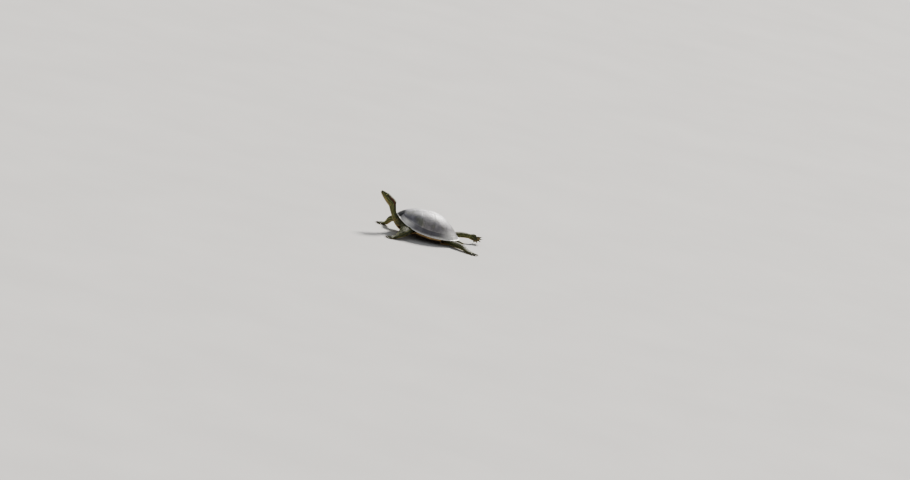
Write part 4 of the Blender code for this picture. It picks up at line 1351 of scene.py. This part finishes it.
def all_lines(tree):
    """Every yellow and every red line."""
    yellow, red = [], []
    for mirror in (1, -1):
        red.append(traced(tree, RED_EAR, mirror))
        yellow += [traced(tree, rows, mirror) for rows in HEAD_LINES]
    for name in (*LEGS, "tail"):
        yellow += limb_lines(tree, name)
    for foot in FEET_SHAPES.values():
        for toe in foot.toes:
            line = foot.toe_line(toe)
            top = line.centre + foot.over * line.thick[:, None]
            yellow.append(np.column_stack([top, np.linspace(0.45, 0.25, len(top)) * MM])[:15])
    return yellow, red


def gap_to_lines(points, lines):
    """Distance from each point to the nearest line's edge, in mm; less than 0 within a line."""
    best = np.full(len(points), LINE_REACH)
    for line in lines:
        low = line[:, :3].min(axis=0) - LINE_REACH
        high = line[:, :3].max(axis=0) + LINE_REACH
        near = np.flatnonzero(((points > low) & (points < high)).all(axis=1))
        for a, b in zip(line, line[1:]):
            along = b[:3] - a[:3]
            share = np.clip((points[near] - a[:3]) @ along / max(along @ along, 1e-12), 0, 1)
            gap = distance(points[near], a[:3] + share[:, None] * along)
            best[near] = np.minimum(best[near], gap - a[3] - (b[3] - a[3]) * share)
    return best / MM


def markings(points, normals, lines):
    """The named numbers that the skin's and scales' colours are made from."""
    yellow, red = lines
    forward, above = head_coordinates(points)
    on_head = forward > 0.002
    from_mouth = above - mouth_height(forward)
    horn = step_up(0.026, 0.036, forward) * (1 - step_up(0.0020, 0.0034, np.abs(from_mouth - 0.0004)))
    throat = step_up(0.15, 0.8, -(normals @ OVER))
    near_chest = np.exp(-(distance(points, CHEST) / CHEST_REACH) ** 2)
    chest = 0.85 * near_chest * step_up(-0.1, 0.6, -normals[:, 1])
    pale = np.where(on_head, 0.7 * throat, np.maximum(step_up(0.2, 0.85, -normals[:, 2]), chest))
    # dust and a painted sheen on faces that look up, more towards the rear, where the legs are lit
    rearwards = step_up(-0.02, 0.07, points[:, 1])
    dust = np.where(on_head, 0.25, 0.25 + 0.95 * rearwards) * step_up(0.35, 0.95, normals[:, 2])
    return {
        "yellow": gap_to_lines(points, yellow),
        "red": gap_to_lines(points, red),
        "pale": pale,
        "dust": dust,
        "horn": horn * on_head,
    }


# ---- coat: scales as solid mesh over the skin --------------------------------------------------
SCALE_SIDES = 8
TURNS = np.linspace(0, 2 * pi, SCALE_SIDES, endpoint=False)
SCALES_PER_PIECE = 6500
# places tried for each scale
CANDIDATES = 9
# a scale's height by its spacing, at most SCALE_HEIGHT; its foot sinks in, more where it is wide
SCALE_RISE, SCALE_HEIGHT, SCALE_SINK = 0.11, 0.00026, 0.00010
SINK_CURVE, SHOULDER_CURVE = 0.016, 0.03
SHOULDER, CREST_AHEAD, CREST_HEIGHT = 0.80, 0.18, 1.12
POINTS_PER_SCALE = 2 * SCALE_SIDES + 1
# the unwrap's tiles: the column and row of each line, in the order of LINES, and the rows for feet
TILE, TILE_EDGE = 0.25, 0.04
TILE_COLUMNS, TILE_ROWS = np.array([0, 1, 2, 3, 0, 1]), np.array([1, 1, 1, 1, 0, 0])
FOOT_TOP_ROW, FOOT_SOLE_ROW = 2, 3
UV_RADIUS = 0.0015


def scale_size(points, which, share, angle):
    """The spacing of scales, in metres; 0 where the skin is bare."""
    size = np.zeros(len(points))
    neck = is_on(which, "neck")
    size[neck] = 0.00100 + 0.0005 * (1 - step_up(0.25, 0.6, share[neck]))
    for name in LEGS:
        turn = pi - angle if name.endswith("right") else angle
        # the large plates on the outer edge of the forearm, and behind the heel
        facing, middle, half_length, extra = 0.35, 0.62, 0.30, 0.0016
        if name.startswith("hind"):
            facing, middle, half_length, extra = pi, 0.80, 0.14, 0.0009
        plates = step_up(0.35, 0.85, np.cos(turn - facing)) * bump_at(share, middle, half_length)
        mine = is_on(which, name)
        size[mine] = (0.00120 + extra * plates - 0.00025 * step_up(0.82, 0.90, share))[mine]
    tail = is_on(which, "tail")
    size[tail] = 0.00110 - 0.0002 * share[tail]
    forward = head_coordinates(points)[0]
    level = off_ground(points)
    over_plastron = level[:, 2] > plastron_under(level[:, 0], level[:, 1]) + 0.001
    size[(shell_ratio(points) < 0.80) & over_plastron] = 0
    size[forward > 0.0035] = 0
    return size * (1 - 0.35 * step_up(-0.004, 0.003, forward))


def point_tree(places):
    tree = KDTree(len(places))
    for i, place in enumerate(places.tolist()):
        tree.insert(place, i)
    tree.balance()
    return tree


def scatter(triangles, points, sizes):
    """Places over the skin, spaced by the size of the scale that each will carry."""
    rng = np.random.default_rng(7)
    corners = points[triangles]
    cross = np.cross(corners[:, 1] - corners[:, 0], corners[:, 2] - corners[:, 0])
    area = np.linalg.norm(cross, axis=1) / 2
    size = sizes[triangles].mean(axis=1)
    size[(sizes[triangles] <= 0).any(axis=1)] = 0
    weight = np.where(size > 0, area / np.maximum(size, 1e-6) ** 2, 0)
    count = int(weight.sum() * CANDIDATES)
    picked = rng.choice(len(triangles), count, p=weight / weight.sum())
    u, v = rng.random((2, count))
    flip = u + v > 1
    u[flip], v[flip] = 1 - u[flip], 1 - v[flip]
    a, b, c = (corners[picked, k] for k in range(3))
    places = a + (b - a) * u[:, None] + (c - a) * v[:, None]
    spacing = size[picked]
    tree = point_tree(places)
    is_open = np.ones(count, bool)
    kept = []
    for i in range(count):
        if is_open[i]:
            kept.append(i)
            for _, j, _ in tree.find_range(places[i], spacing[i] * 0.86):
                is_open[j] = False
    return places[kept], spacing[kept]


def neighbours(places, count):
    """The numbers of each place's nearest others."""
    tree = point_tree(places)
    return np.array([[hit[1] for hit in tree.find_n(place, count + 1)][1:] for place in places.tolist()])


def settle(places, spacing, tree, rounds=2):
    """Evens out the places by letting near neighbours push each other apart on the skin."""
    for _ in range(rounds):
        away = places[:, None] - places[neighbours(places, 7)]
        gap = np.linalg.norm(away, axis=2, keepdims=True)
        push = np.maximum(spacing[:, None, None] * 1.12 - gap, 0) / np.maximum(gap, 1e-9)
        moved = places + 0.22 * (away * push).sum(axis=1)
        places = np.array([tree.find_nearest(Vector(place))[0] for place in moved])
    return places


def unwrap(points, which, length, angle):
    """Each scale's place on an unwrap of the skin: limbs rolled out flat, feet laid flat."""
    column, row = TILE_COLUMNS[which], TILE_ROWS[which]
    u = angle / (2 * pi) + 0.5
    v = np.clip((length + 0.01) / 0.13, 0, 1)
    for name, foot in FEET_SHAPES.items():
        away = points - foot.centre
        near = is_on(which, name) & (away @ foot.ahead > -0.006)
        u[near] = np.clip((away @ foot.side)[near] / 0.060 + 0.5, 0, 1)
        v[near] = np.clip((away @ foot.ahead)[near] / 0.042 + 0.2, 0, 1)
        row[near] = np.where((away @ foot.over)[near] > 0, FOOT_TOP_ROW, FOOT_SOLE_ROW)
    within = 1 - 2 * TILE_EDGE
    return np.column_stack([column + TILE_EDGE + within * u, row + TILE_EDGE + within * v]) * TILE


def lie(which, share):
    """The way scales lie: down the limb, and down the neck away from the head."""
    way = np.zeros((len(which), 3))
    for name, line in LINES.items():
        mine = is_on(which, name)
        step = np.round(share[mine] * (len(line.centre) - 1)).astype(int)
        way[mine] = line.along[step] * (-1 if name == "neck" else 1)
    return way


def skin_normals(mesh, tree, places):
    """The skin's way out at each place: the mean over three corners of the nearest face."""
    normals = mesh_normals(mesh)
    corners = [mesh.polygons[tree.find_nearest(Vector(place))[2]].vertices[:3] for place in places]
    return unit(normals[np.array(corners)].sum(axis=1))


def scale_reach(places, spacing, up, way, across):
    """How far each scale reaches in each of its directions: half way to its neighbours."""
    away = places[neighbours(places, 12)] - places[:, None]
    along_gap, across_gap, up_gap = ((away * axis[:, None]).sum(axis=2) for axis in (way, across, up))
    level = np.abs(up_gap) <= 1.2 * spacing[:, None]
    squared = along_gap**2 + across_gap**2
    reach = []
    for turn in TURNS:
        facing = along_gap * cos(turn) + across_gap * sin(turn)
        limit = np.where((facing > 1e-6) & level, squared / 2 / np.maximum(facing, 1e-6), np.inf)
        reach.append(limit.min(axis=1))
    return np.minimum(np.stack(reach, axis=1), spacing[:, None] * 0.72) * 0.965


def build_coat(skin, lines):
    """Joined scales over neck, legs, feet and tail, a few thousand to each piece."""
    mesh = skin.data
    mesh.calc_loop_triangles()
    triangles = rows_of_three(mesh.loop_triangles, "vertices", np.int32)
    points = mesh_points(mesh)
    which, share, length, angle = nearest_line(points)
    tree = surface_tree(skin)
    places, spacing = scatter(triangles, points, scale_size(points, which, share, angle))
    places = settle(places, spacing, tree)
    up = skin_normals(mesh, tree, places)
    which, share, length, angle = nearest_line(places)
    way = lie(which, share)
    way = unit(way - up * (way * up).sum(axis=1)[:, None])
    across = np.cross(up, way)
    reach = scale_reach(places, spacing, up, way, across)
    uv = unwrap(places, which, length, angle)
    values = markings(places, up, lines)
    values["tone"] = lattice(np.column_stack([np.arange(len(places))] * 3), 77)
    blocks = scale_points(places, spacing, up, way, across, reach)
    pieces = []
    for start in range(0, len(places), SCALES_PER_PIECE):
        part = slice(start, start + SCALES_PER_PIECE)
        local = {key: value[part] for key, value in values.items()}
        pieces.append(scale_piece(f"scales_{len(pieces) + 1}", blocks[part], uv[part], local))
    return pieces


def scale_points(places, spacing, up, way, across, reach):
    """The points of each scale: a sunk foot, a raised shoulder and a low crest towards the tip."""
    lean = np.cos(TURNS)[None, :]
    direction = way[:, None] * lean[..., None] + across[:, None] * np.sin(TURNS)[None, :, None]
    rise = np.minimum(spacing * SCALE_RISE, SCALE_HEIGHT)[:, None]
    sink = SCALE_SINK + reach**2 / SINK_CURVE
    outer = places[:, None] + direction * reach[..., None] - up[:, None] * sink[..., None]
    lift = rise * (0.70 + 0.35 * lean) - reach**2 / SHOULDER_CURVE
    shoulder = places[:, None] + direction * (reach * SHOULDER)[..., None] + up[:, None] * lift[..., None]
    crest = places + way * (reach[:, :1] * CREST_AHEAD) + up * rise * CREST_HEIGHT
    return np.concatenate([outer, shoulder, crest[:, None]], axis=1)


def scale_faces(count):
    """The corners of the faces of this many scales, and where each face's corners end."""
    side = np.arange(SCALE_SIDES)
    after = np.roll(side, -1)
    walls = np.stack([side, after, SCALE_SIDES + after, SCALE_SIDES + side], axis=1)
    tops = np.stack([SCALE_SIDES + side, SCALE_SIDES + after, np.full(SCALE_SIDES, 2 * SCALE_SIDES)], axis=1)
    offsets = (np.arange(count) * POINTS_PER_SCALE)[:, None, None]
    corners, sizes = [], []
    for faces in (walls, tops, side[::-1][None]):
        corners.append((faces[None] + offsets).reshape(count, -1))
        sizes.append(np.full((count, len(faces)), faces.shape[1]))
    return np.concatenate(corners, axis=1).ravel(), np.cumsum(np.concatenate(sizes, axis=1).ravel())


def scale_piece(name, blocks, uv, values):
    """One object of closed scales, with its unwrap for the bake."""
    corners, face_ends = scale_faces(len(blocks))
    mesh = bpy.data.meshes.new(name)
    mesh.vertices.add(blocks.shape[0] * blocks.shape[1])
    mesh.vertices.foreach_set("co", (blocks.reshape(-1, 3) + SHIFT).astype(np.float32).ravel())
    mesh.loops.add(len(corners))
    mesh.loops.foreach_set("vertex_index", corners.astype(np.int32))
    mesh.polygons.add(len(face_ends))
    mesh.polygons.foreach_set("loop_start", np.append(0, face_ends[:-1]).astype(np.int32))
    mesh.update(calc_edges=True)
    mesh.validate()
    for key, value in values.items():
        set_values(mesh, key, np.repeat(value, POINTS_PER_SCALE))
    circle = np.stack([np.cos(TURNS), np.sin(TURNS)], axis=1)
    flat = np.concatenate([circle, circle * SHOULDER, [[0.1, 0.0]]]) * UV_RADIUS
    point_uv = (uv[:, None] + flat[None]).reshape(-1, 2)
    layer = mesh.uv_layers.new(name="OFBake")
    layer.data.foreach_set("uv", point_uv[corners].astype(np.float32).ravel())
    mesh.shade_smooth()
    obj = bpy.data.objects.new(name, mesh)
    bpy.context.scene.collection.objects.link(obj)
    return obj


# ---- eyes and claws ----------------------------------------------------------------------------
EYE_DOME, EYE_DOME_ANGLE = 0.035, 34
EYE_SIDES, CLAW_SIDES = 64, 14


def build_eye(side):
    """A ball with its front a little domed; numbers say how far a point is from the pupil and the bar."""
    look, front, upper = gaze(side)
    turns = np.linspace(0, 2 * pi, EYE_SIDES, endpoint=False)
    outline = front * np.cos(turns)[:, None] + upper * np.sin(turns)[:, None]
    rings, away, bar = [], [], []
    for tilt in np.linspace(2, 178, 60):
        back = radians(tilt)
        radius = EYE_RADIUS * (1 + EYE_DOME * (1 - step_up(0, EYE_DOME_ANGLE, tilt)))
        rings.append(EYES[side] + radius * (look * cos(back) + outline * sin(back)))
        away += [radius * back / MM] * EYE_SIDES
        bar += [*np.abs(np.sin(turns)) * sin(back) * radius / MM]
    shape = Shape()
    shape.loft(rings, away=away, bar=bar)
    return shape.object("eyeball_" + side)


def build_claws():
    shape = Shape()
    for foot in FEET_SHAPES.values():
        for toe in foot.toes:
            if toe[2]:
                rings = foot.claw_line(toe).rings(CLAW_SIDES, round_ends=False)
                shape.loft(rings, tip=np.repeat(np.linspace(0, 1, len(rings)), CLAW_SIDES))
    return shape.object("claws")


# ---- materials ---------------------------------------------------------------------------------
class Shade:
    """A node material, built up call by call; base is its colour so far."""

    def __init__(self, name, roughness=0.5, specular=0.5):
        self.material = bpy.data.materials.new(name)
        self.material.use_nodes = True
        self.tree = self.material.node_tree
        self.shader = self.tree.nodes["Principled BSDF"]
        self.set("Roughness", roughness)
        self.set("Specular IOR Level", specular)
        self.place = self.node("ShaderNodeTexCoord", output="Object")
        self.base = None

    def feed(self, socket, value):
        """Links a socket to another one, or sets its number, vector or colour."""
        if isinstance(value, bpy.types.NodeSocket):
            self.tree.links.new(value, socket)
        elif socket.type == "RGBA":
            socket.default_value = (*value, 1)
        else:
            socket.default_value = value

    def set(self, name, value):
        self.feed(self.shader.inputs[name], value)

    def node(self, kind, inputs=(), output=0, **settings):
        """Adds a node and gives one of its outputs."""
        node = self.tree.nodes.new(kind)
        for key, value in settings.items():
            setattr(node, key, value)
        for key, value in dict(inputs).items():
            self.feed(node.inputs[key], value)
        return node.outputs[output]

    def value(self, name):
        """One of the numbers that the mesh carries for each point."""
        return self.node("ShaderNodeAttribute", attribute_name=name, output="Fac")

    def noise(self, per_metre, detail=2, stretch=None):
        place = self.place
        if stretch:
            place = self.node("ShaderNodeMapping", {"Vector": place, "Scale": stretch})
        return self.node("ShaderNodeTexNoise", {"Vector": place, "Scale": per_metre, "Detail": detail})

    def cells(self, per_metre):
        inputs = {"Vector": self.place, "Scale": per_metre}
        return self.node("ShaderNodeTexVoronoi", inputs, output="Distance")

    def math(self, operation, *inputs):
        return self.node("ShaderNodeMath", dict(enumerate(inputs)), operation=operation)

    def times(self, a, b):
        return self.math("MULTIPLY", a, b)

    def plus(self, a, b):
        return self.math("ADD", a, b)

    def blend(self, *parts):
        """The sum of several sockets, each with its weight."""
        first, *others = [self.times(socket, weight) for socket, weight in parts]
        for other in others:
            first = self.plus(first, other)
        return first

    def jitter(self, value, noise, width):
        """A value moved up and down by noise, over this width."""
        return self.plus(value, self.times(self.plus(noise, -0.5), width))

    def map(self, value, low, high, to_low=0.0, to_high=1.0):
        inputs = {"Value": value, "From Min": low, "From Max": high, "To Min": to_low, "To Max": to_high}
        return self.node("ShaderNodeMapRange", inputs, interpolation_type="SMOOTHSTEP")

    def ramp(self, value, *stops):
        ramp = self.node("ShaderNodeValToRGB", {"Fac": value}).node
        set_stops(ramp, stops)
        return ramp.outputs["Color"]

    def cover(self, share, colour, strength=1.0, blend="MIX"):
        """Lays a colour over the base, as far as share times strength says."""
        if strength < 1:
            share = self.times(share, strength)
        inputs = {0: share, 6: self.base, 7: colour}
        self.base = self.node("ShaderNodeMix", inputs, output=2, data_type="RGBA", blend_type=blend)

    def bump(self, height, millimetres, strength=1.0):
        inputs = {"Height": height, "Distance": millimetres * MM, "Strength": strength}
        self.set("Normal", self.node("ShaderNodeBump", inputs))


def set_stops(ramp, stops):
    """Gives a colour ramp its stops: place and colour."""
    elements = ramp.color_ramp.elements
    while len(elements) < len(stops):
        elements.new(0.5)
    for element, (place, colour) in zip(elements, stops):
        element.position = place
        element.color = (*colour, 1)


# ---- colours -----------------------------------------------------------------------------------
LINE_BORDER = (0.014, 0.017, 0.009)


def draw_line(shade, gap, border_out, border_in, strength, edge, colour):
    """A coloured line with a dark border; gap is the distance from the line's edge in mm."""
    border = shade.times(shade.map(gap, *border_out), shade.map(gap, *border_in))
    shade.cover(border, LINE_BORDER, strength)
    shade.cover(shade.map(gap, *edge), colour)


def flesh_shade(name, scales):
    """Skin or scales: olive with pale-yellow lines, a buff underside, dust with a painted sheen on top and a
    dull red patch on the head.
    """
    shade = Shade(name, roughness=0.58, specular=0.32)
    mottle = shade.noise(170.0, detail=3)
    fine = shade.noise(900.0)
    shade.base = shade.ramp(mottle, (0.30, (0.030, 0.036, 0.015)), (0.52, (0.052, 0.060, 0.026)),
                            (0.72, (0.082, 0.086, 0.040)))
    if scales:
        shade.cover(shade.map(shade.value("tone"), -0.4, 1.0), (0.084, 0.084, 0.047))
    else:
        shade.cover(0.45, (0.026, 0.028, 0.015))
    under = shade.ramp(mottle, (0.30, (0.150, 0.110, 0.045)), (0.50, (0.330, 0.235, 0.095)),
                       (0.72, (0.46, 0.34, 0.15)))
    shade.cover(shade.value("pale"), under, 0.75)
    # dust and a painted sheen on faces that look up
    dust = shade.ramp(mottle, (0.35, (0.130, 0.125, 0.098)), (0.65, (0.215, 0.207, 0.170)))
    shade.cover(shade.value("dust"), dust, 0.65 if scales else 0.45)
    horn = shade.ramp(fine, (0.3, (0.060, 0.058, 0.026)), (0.7, (0.125, 0.115, 0.050)))
    shade.cover(shade.value("horn"), horn, 0.6)
    ragged = shade.noise(420.0, detail=1)
    yellow = shade.jitter(shade.value("yellow"), ragged, 0.7)
    line = shade.ramp(mottle, (0.3, (0.19, 0.21, 0.062)), (0.7, (0.36, 0.35, 0.125)))
    draw_line(shade, yellow, (0.75, 0.30), (-0.05, 0.15), 0.75, (0.22, -0.10), line)
    red = shade.jitter(shade.value("red"), ragged, 0.7)
    ear = shade.ramp(fine, (0.3, (0.120, 0.015, 0.008)), (0.7, (0.200, 0.026, 0.013)))
    draw_line(shade, red, (0.95, 0.40), (-0.05, 0.2), 0.8, (0.25, -0.15), ear)
    shade.set("Roughness", shade.map(fine, 0.3, 0.7, 0.48, 0.68))
    if scales:
        shade.bump(shade.noise(2600.0), 0.03)
    else:
        shade.bump(shade.blend((shade.cells(1250.0), -1.0), (shade.noise(1500.0), 0.35)), 0.10, 0.8)
    return shade


def scute_shade():
    """Dry scutes: growth rings, worn streaks, dust with a painted sheen, pale rims, painted light and shade
    on the marginals, a near-black glossy patch.
    """
    shade = Shade("carapace_horn")
    seam = shade.value("seam")
    broad = shade.noise(55.0, detail=4)
    worn = shade.noise(420.0, detail=4)
    # grey horn; its slight blue-purple cast is painted sky light, as in shade
    shade.base = shade.ramp(broad, (0.30, (0.110, 0.105, 0.120)), (0.50, (0.172, 0.165, 0.184)),
                            (0.70, (0.245, 0.237, 0.250)))
    each = shade.ramp(shade.value("scute"), (0.0, (0.74, 0.76, 0.80)), (0.5, (0.96, 0.96, 0.94)),
                      (1.0, (1.16, 1.12, 1.02)))
    shade.cover(1.0, each, blend="MULTIPLY")
    shade.cover(shade.map(shade.noise(38.0, detail=3), 0.50, 0.68), (0.115, 0.120, 0.060), 0.55)
    ring = shade.math("SINE", shade.blend((seam, 2.3), (shade.noise(110.0, detail=3), 6.0)))
    patchy = shade.map(shade.noise(75.0), 0.42, 0.66)
    ring_share = shade.times(shade.map(ring, 0.10, 1.0), shade.map(shade.value("centre"), 0.85, 0.35))
    shade.cover(shade.times(ring_share, patchy), (0.28, 0.28, 0.262), 0.26)
    streak = shade.noise(110.0, detail=3, stretch=(0.5, 3.2, 0.5))
    shade.cover(shade.map(streak, 0.55, 0.75), (0.36, 0.345, 0.30), 0.30)
    shade.cover(shade.map(worn, 0.56, 0.74), (0.060, 0.062, 0.055), 0.28)
    shade.cover(shade.map(seam, 0.95, 0.15), (0.035, 0.035, 0.032), 0.70)
    # dust with a painted sheen on top of the dome
    sheen = shade.times(shade.value("dust"), shade.map(broad, 0.30, 0.70, 0.40, 0.85))
    shade.cover(sheen, (0.54, 0.534, 0.538))
    # darker, more olive towards the far side: less dust, and painted shade over the painted sheen
    shade.cover(shade.value("fresh"), (0.66, 0.64, 0.53), blend="MULTIPLY")
    # painted shade on the marginals of the long sides
    shade.cover(shade.value("low"), (0.064, 0.061, 0.071), 0.74)
    # a pale line along the lip, and painted light on the rear and front marginals
    rim = shade.times(shade.value("edge"), shade.map(worn, 0.25, 0.75, 1.00, 0.65))
    shade.cover(rim, (0.80, 0.785, 0.745))
    # a near-black, glossy patch at the front
    wet = shade.map(shade.jitter(shade.value("wet"), broad, 0.5), 0.35, 0.55)
    shade.cover(wet, (0.009, 0.009, 0.008), 0.93)
    dry = shade.map(worn, 0.3, 0.7, 0.40, 0.62)
    shade.set("Roughness", shade.plus(dry, shade.times(wet, -0.16)))
    scratch = shade.noise(900.0, detail=3)
    shade.bump(shade.blend((ring, 0.16), (worn, 1.2), (scratch, 0.35)), 0.16, 0.9)
    return shade


def base_shade():
    """Dark bone in the seams of the scutes, buff blotches on the underside."""
    shade = Shade("carapace_base", roughness=0.55, specular=0.4)
    broad = shade.noise(60.0, detail=3)
    shade.base = shade.ramp(broad, (0.3, (0.022, 0.021, 0.018)), (0.7, (0.050, 0.046, 0.038)))
    under = shade.ramp(broad, (0.42, (0.090, 0.060, 0.030)), (0.55, (0.33, 0.24, 0.11)))
    shade.cover(shade.value("under"), under)
    return shade


def plastron_shade():
    """Amber horn with a dark blotch on each scute."""
    shade = Shade("plastron_horn", roughness=0.42)
    seam = shade.value("seam")
    broad = shade.noise(70.0, detail=3)
    worn = shade.noise(480.0, detail=3)
    shade.base = shade.ramp(broad, (0.3, (0.24, 0.150, 0.060)), (0.55, (0.34, 0.215, 0.085)),
                            (0.75, (0.42, 0.29, 0.13)))
    dark = shade.ramp(worn, (0.3, (0.030, 0.020, 0.012)), (0.7, (0.080, 0.050, 0.026)))
    shade.cover(shade.map(shade.jitter(shade.value("blotch"), worn, 0.3), 0.52, 0.36), dark)
    shade.cover(shade.map(seam, 0.75, 0.10), (0.055, 0.034, 0.018), 0.75)
    shade.cover(shade.map(worn, 0.55, 0.75), (0.16, 0.10, 0.045), 0.30)
    rings = shade.math("SINE", shade.blend((seam, 3.4), (broad, 5.0)))
    shade.bump(shade.blend((rings, 0.3), (worn, 1.0)), 0.10, 0.7)
    return shade


def eye_shade():
    """Yellow-green iris, round pupil and the dark bar that runs through both."""
    shade = Shade("eye_gloss", roughness=0.04, specular=0.7)
    away = shade.value("away")
    ragged, fleck = shade.noise(2600.0), shade.noise(3800.0)
    shade.base = shade.ramp(fleck, (0.35, (0.30, 0.36, 0.055)), (0.65, (0.62, 0.60, 0.16)))
    rim = shade.ramp(fleck, (0.35, (0.030, 0.034, 0.012)), (0.65, (0.075, 0.075, 0.030)))
    shade.cover(shade.map(shade.jitter(away, ragged, 0.5), 1.75, 2.15), rim)
    bar = shade.jitter(shade.value("bar"), ragged, 0.5)
    shade.cover(shade.map(bar, 0.52, 0.30), (0.010, 0.010, 0.006))
    ring = shade.times(shade.map(away, 1.12, 0.98), shade.map(away, 0.84, 0.94))
    shade.cover(ring, (0.62, 0.60, 0.22), 0.7)
    shade.cover(shade.map(away, 0.92, 0.82), (0.002, 0.002, 0.002))
    shade.set("Coat Weight", 1.0)
    shade.set("Coat Roughness", 0.02)
    return shade


def claw_shade():
    """Dark horn, paler towards the tip."""
    shade = Shade("claw_horn", roughness=0.32)
    share = shade.blend((shade.value("tip"), 1.0), (shade.noise(900.0), 0.25))
    shade.base = shade.ramp(share, (0.20, (0.020, 0.017, 0.012)), (0.60, (0.060, 0.048, 0.030)),
                            (1.0, (0.230, 0.185, 0.110)))
    shade.bump(shade.noise(1500.0, stretch=(1.0, 0.25, 1.0)), 0.03)
    return shade


# ---- stage: floor, light and camera ------------------------------------------------------------
CAMERA_AZIMUTH, CAMERA_ELEVATION, CAMERA_ROLL = radians(77), radians(10.5), radians(13.5)
CAMERA_DISTANCE = 14.5
SENSOR = 0.036
FRAME_WIDTH = 2.6074
# from the middle of the frame to the front of the shell, in metres at the turtle
SHELL_FRONT_IN_FRAME = (-0.16619, 0.07450)
SHELL_FRONT = Vector((0.0, -0.1117, 0.0557))
FLOOR_RADIUS = 60.0
# where each light comes from, its spread in degrees, strength and colour
LIGHTS = {
    "key": ((-1.95, 1.1, 1.75), 14, 7.1, (1.0, 0.965, 0.925)),
    "fill": ((2.4, -1.8, 1.5), 60, 0.30, (0.88, 0.94, 1.0)),
}
# the sky's colours by height, from 0 at the level of the eye to 1 overhead
SKY = (0.04, (0.85, 0.838, 0.815)), (0.34, (0.325, 0.338, 0.362))


def add_light(name, place, spread, strength, colour):
    """A broad, even light from far off in the direction of place."""
    light = bpy.data.lights.new(name, "SUN")
    light.energy = strength
    light.angle = radians(spread)
    light.color = colour
    obj = bpy.data.objects.new(name, light)
    obj.location = place
    obj.rotation_euler = (-Vector(place)).to_track_quat("-Z", "Y").to_euler()
    bpy.context.scene.collection.objects.link(obj)


def add_floor():
    bm = bmesh.new()
    bmesh.ops.create_circle(bm, cap_ends=True, segments=96, radius=FLOOR_RADIUS)
    mesh = bpy.data.meshes.new("floor")
    bm.to_mesh(mesh)
    bm.free()
    floor = bpy.data.objects.new("floor", mesh)
    bpy.context.scene.collection.objects.link(floor)
    shade = Shade("floor_pale", roughness=0.85, specular=0.2)
    grain = shade.noise(3.0, detail=3)
    shade.set("Base Color", shade.ramp(grain, (0.3, (0.46, 0.451, 0.434)), (0.7, (0.49, 0.481, 0.463))))
    mesh.materials.append(shade.material)


def add_sky():
    """A pale sky that is brightest low down."""
    world = bpy.data.worlds.new("studio")
    world.use_nodes = True
    nodes, links = world.node_tree.nodes, world.node_tree.links
    way = nodes.new("ShaderNodeTexCoord")
    height = nodes.new("ShaderNodeSeparateXYZ")
    ramp = nodes.new("ShaderNodeValToRGB")
    set_stops(ramp, SKY)
    links.new(way.outputs["Generated"], height.inputs["Vector"])
    links.new(height.outputs["Z"], ramp.inputs["Fac"])
    links.new(ramp.outputs["Color"], nodes["Background"].inputs["Color"])
    bpy.context.scene.world = world


def add_camera():
    a, e, r = CAMERA_AZIMUTH, CAMERA_ELEVATION, CAMERA_ROLL
    level = Vector((cos(a), sin(a), 0))
    back = Vector((sin(a) * cos(e), -cos(a) * cos(e), sin(e)))
    upright = back.cross(level)
    right = level * cos(r) + upright * sin(r)
    up = upright * cos(r) - level * sin(r)
    across, above = SHELL_FRONT_IN_FRAME
    target = SHELL_FRONT - right * across - up * above
    data = bpy.data.cameras.new("camera")
    data.sensor_width = SENSOR / MM
    data.lens = data.sensor_width * CAMERA_DISTANCE / FRAME_WIDTH
    data.clip_end = 200
    camera = bpy.data.objects.new("camera", data)
    matrix = Matrix((right, up, back)).transposed().to_4x4()
    matrix.translation = target + back * CAMERA_DISTANCE
    camera.matrix_world = matrix
    bpy.context.scene.collection.objects.link(camera)
    bpy.context.scene.camera = camera


def add_stage():
    add_floor()
    add_sky()
    bpy.context.scene.view_settings.look = "AgX - Medium High Contrast"
    for name, light in LIGHTS.items():
        add_light(name, *light)
    add_camera()


# ---- the turtle, put together ------------------------------------------------------------------
def place(obj, shade, slot, nodes=()):
    shade.set("Base Color", shade.base)
    obj.data.materials.clear()
    obj.data.materials.append(shade.material)
    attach(obj, "root")
    if nodes:
        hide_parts(*nodes)


def build_turtle():
    skin = build_skin()
    points, normals = mesh_points(skin.data), mesh_normals(skin.data)
    lines = all_lines(surface_tree(skin))
    for key, values in markings(points, normals, lines).items():
        set_values(skin.data, key, values)
    scales = flesh_shade("turtle_scales", True)
    for piece in build_coat(skin, lines):
        place(piece, scales, "skin")
    skin.data.transform(Matrix.Translation(SHIFT))
    place(skin, flesh_shade("turtle_skin", False), "skin", FLESH_NODES)
    place(build_scutes(), scute_shade(), "carapace", ["carapace"])
    place(build_carapace_base(), base_shade(), "carapace")
    place(build_plastron(), plastron_shade(), "plastron", ["plastron"])
    gloss = eye_shade()
    for side in EYES:
        place(build_eye(side), gloss, "eye", ["eye_" + side])
    place(build_claws(), claw_shade(), "skin")


build_turtle()
add_stage()
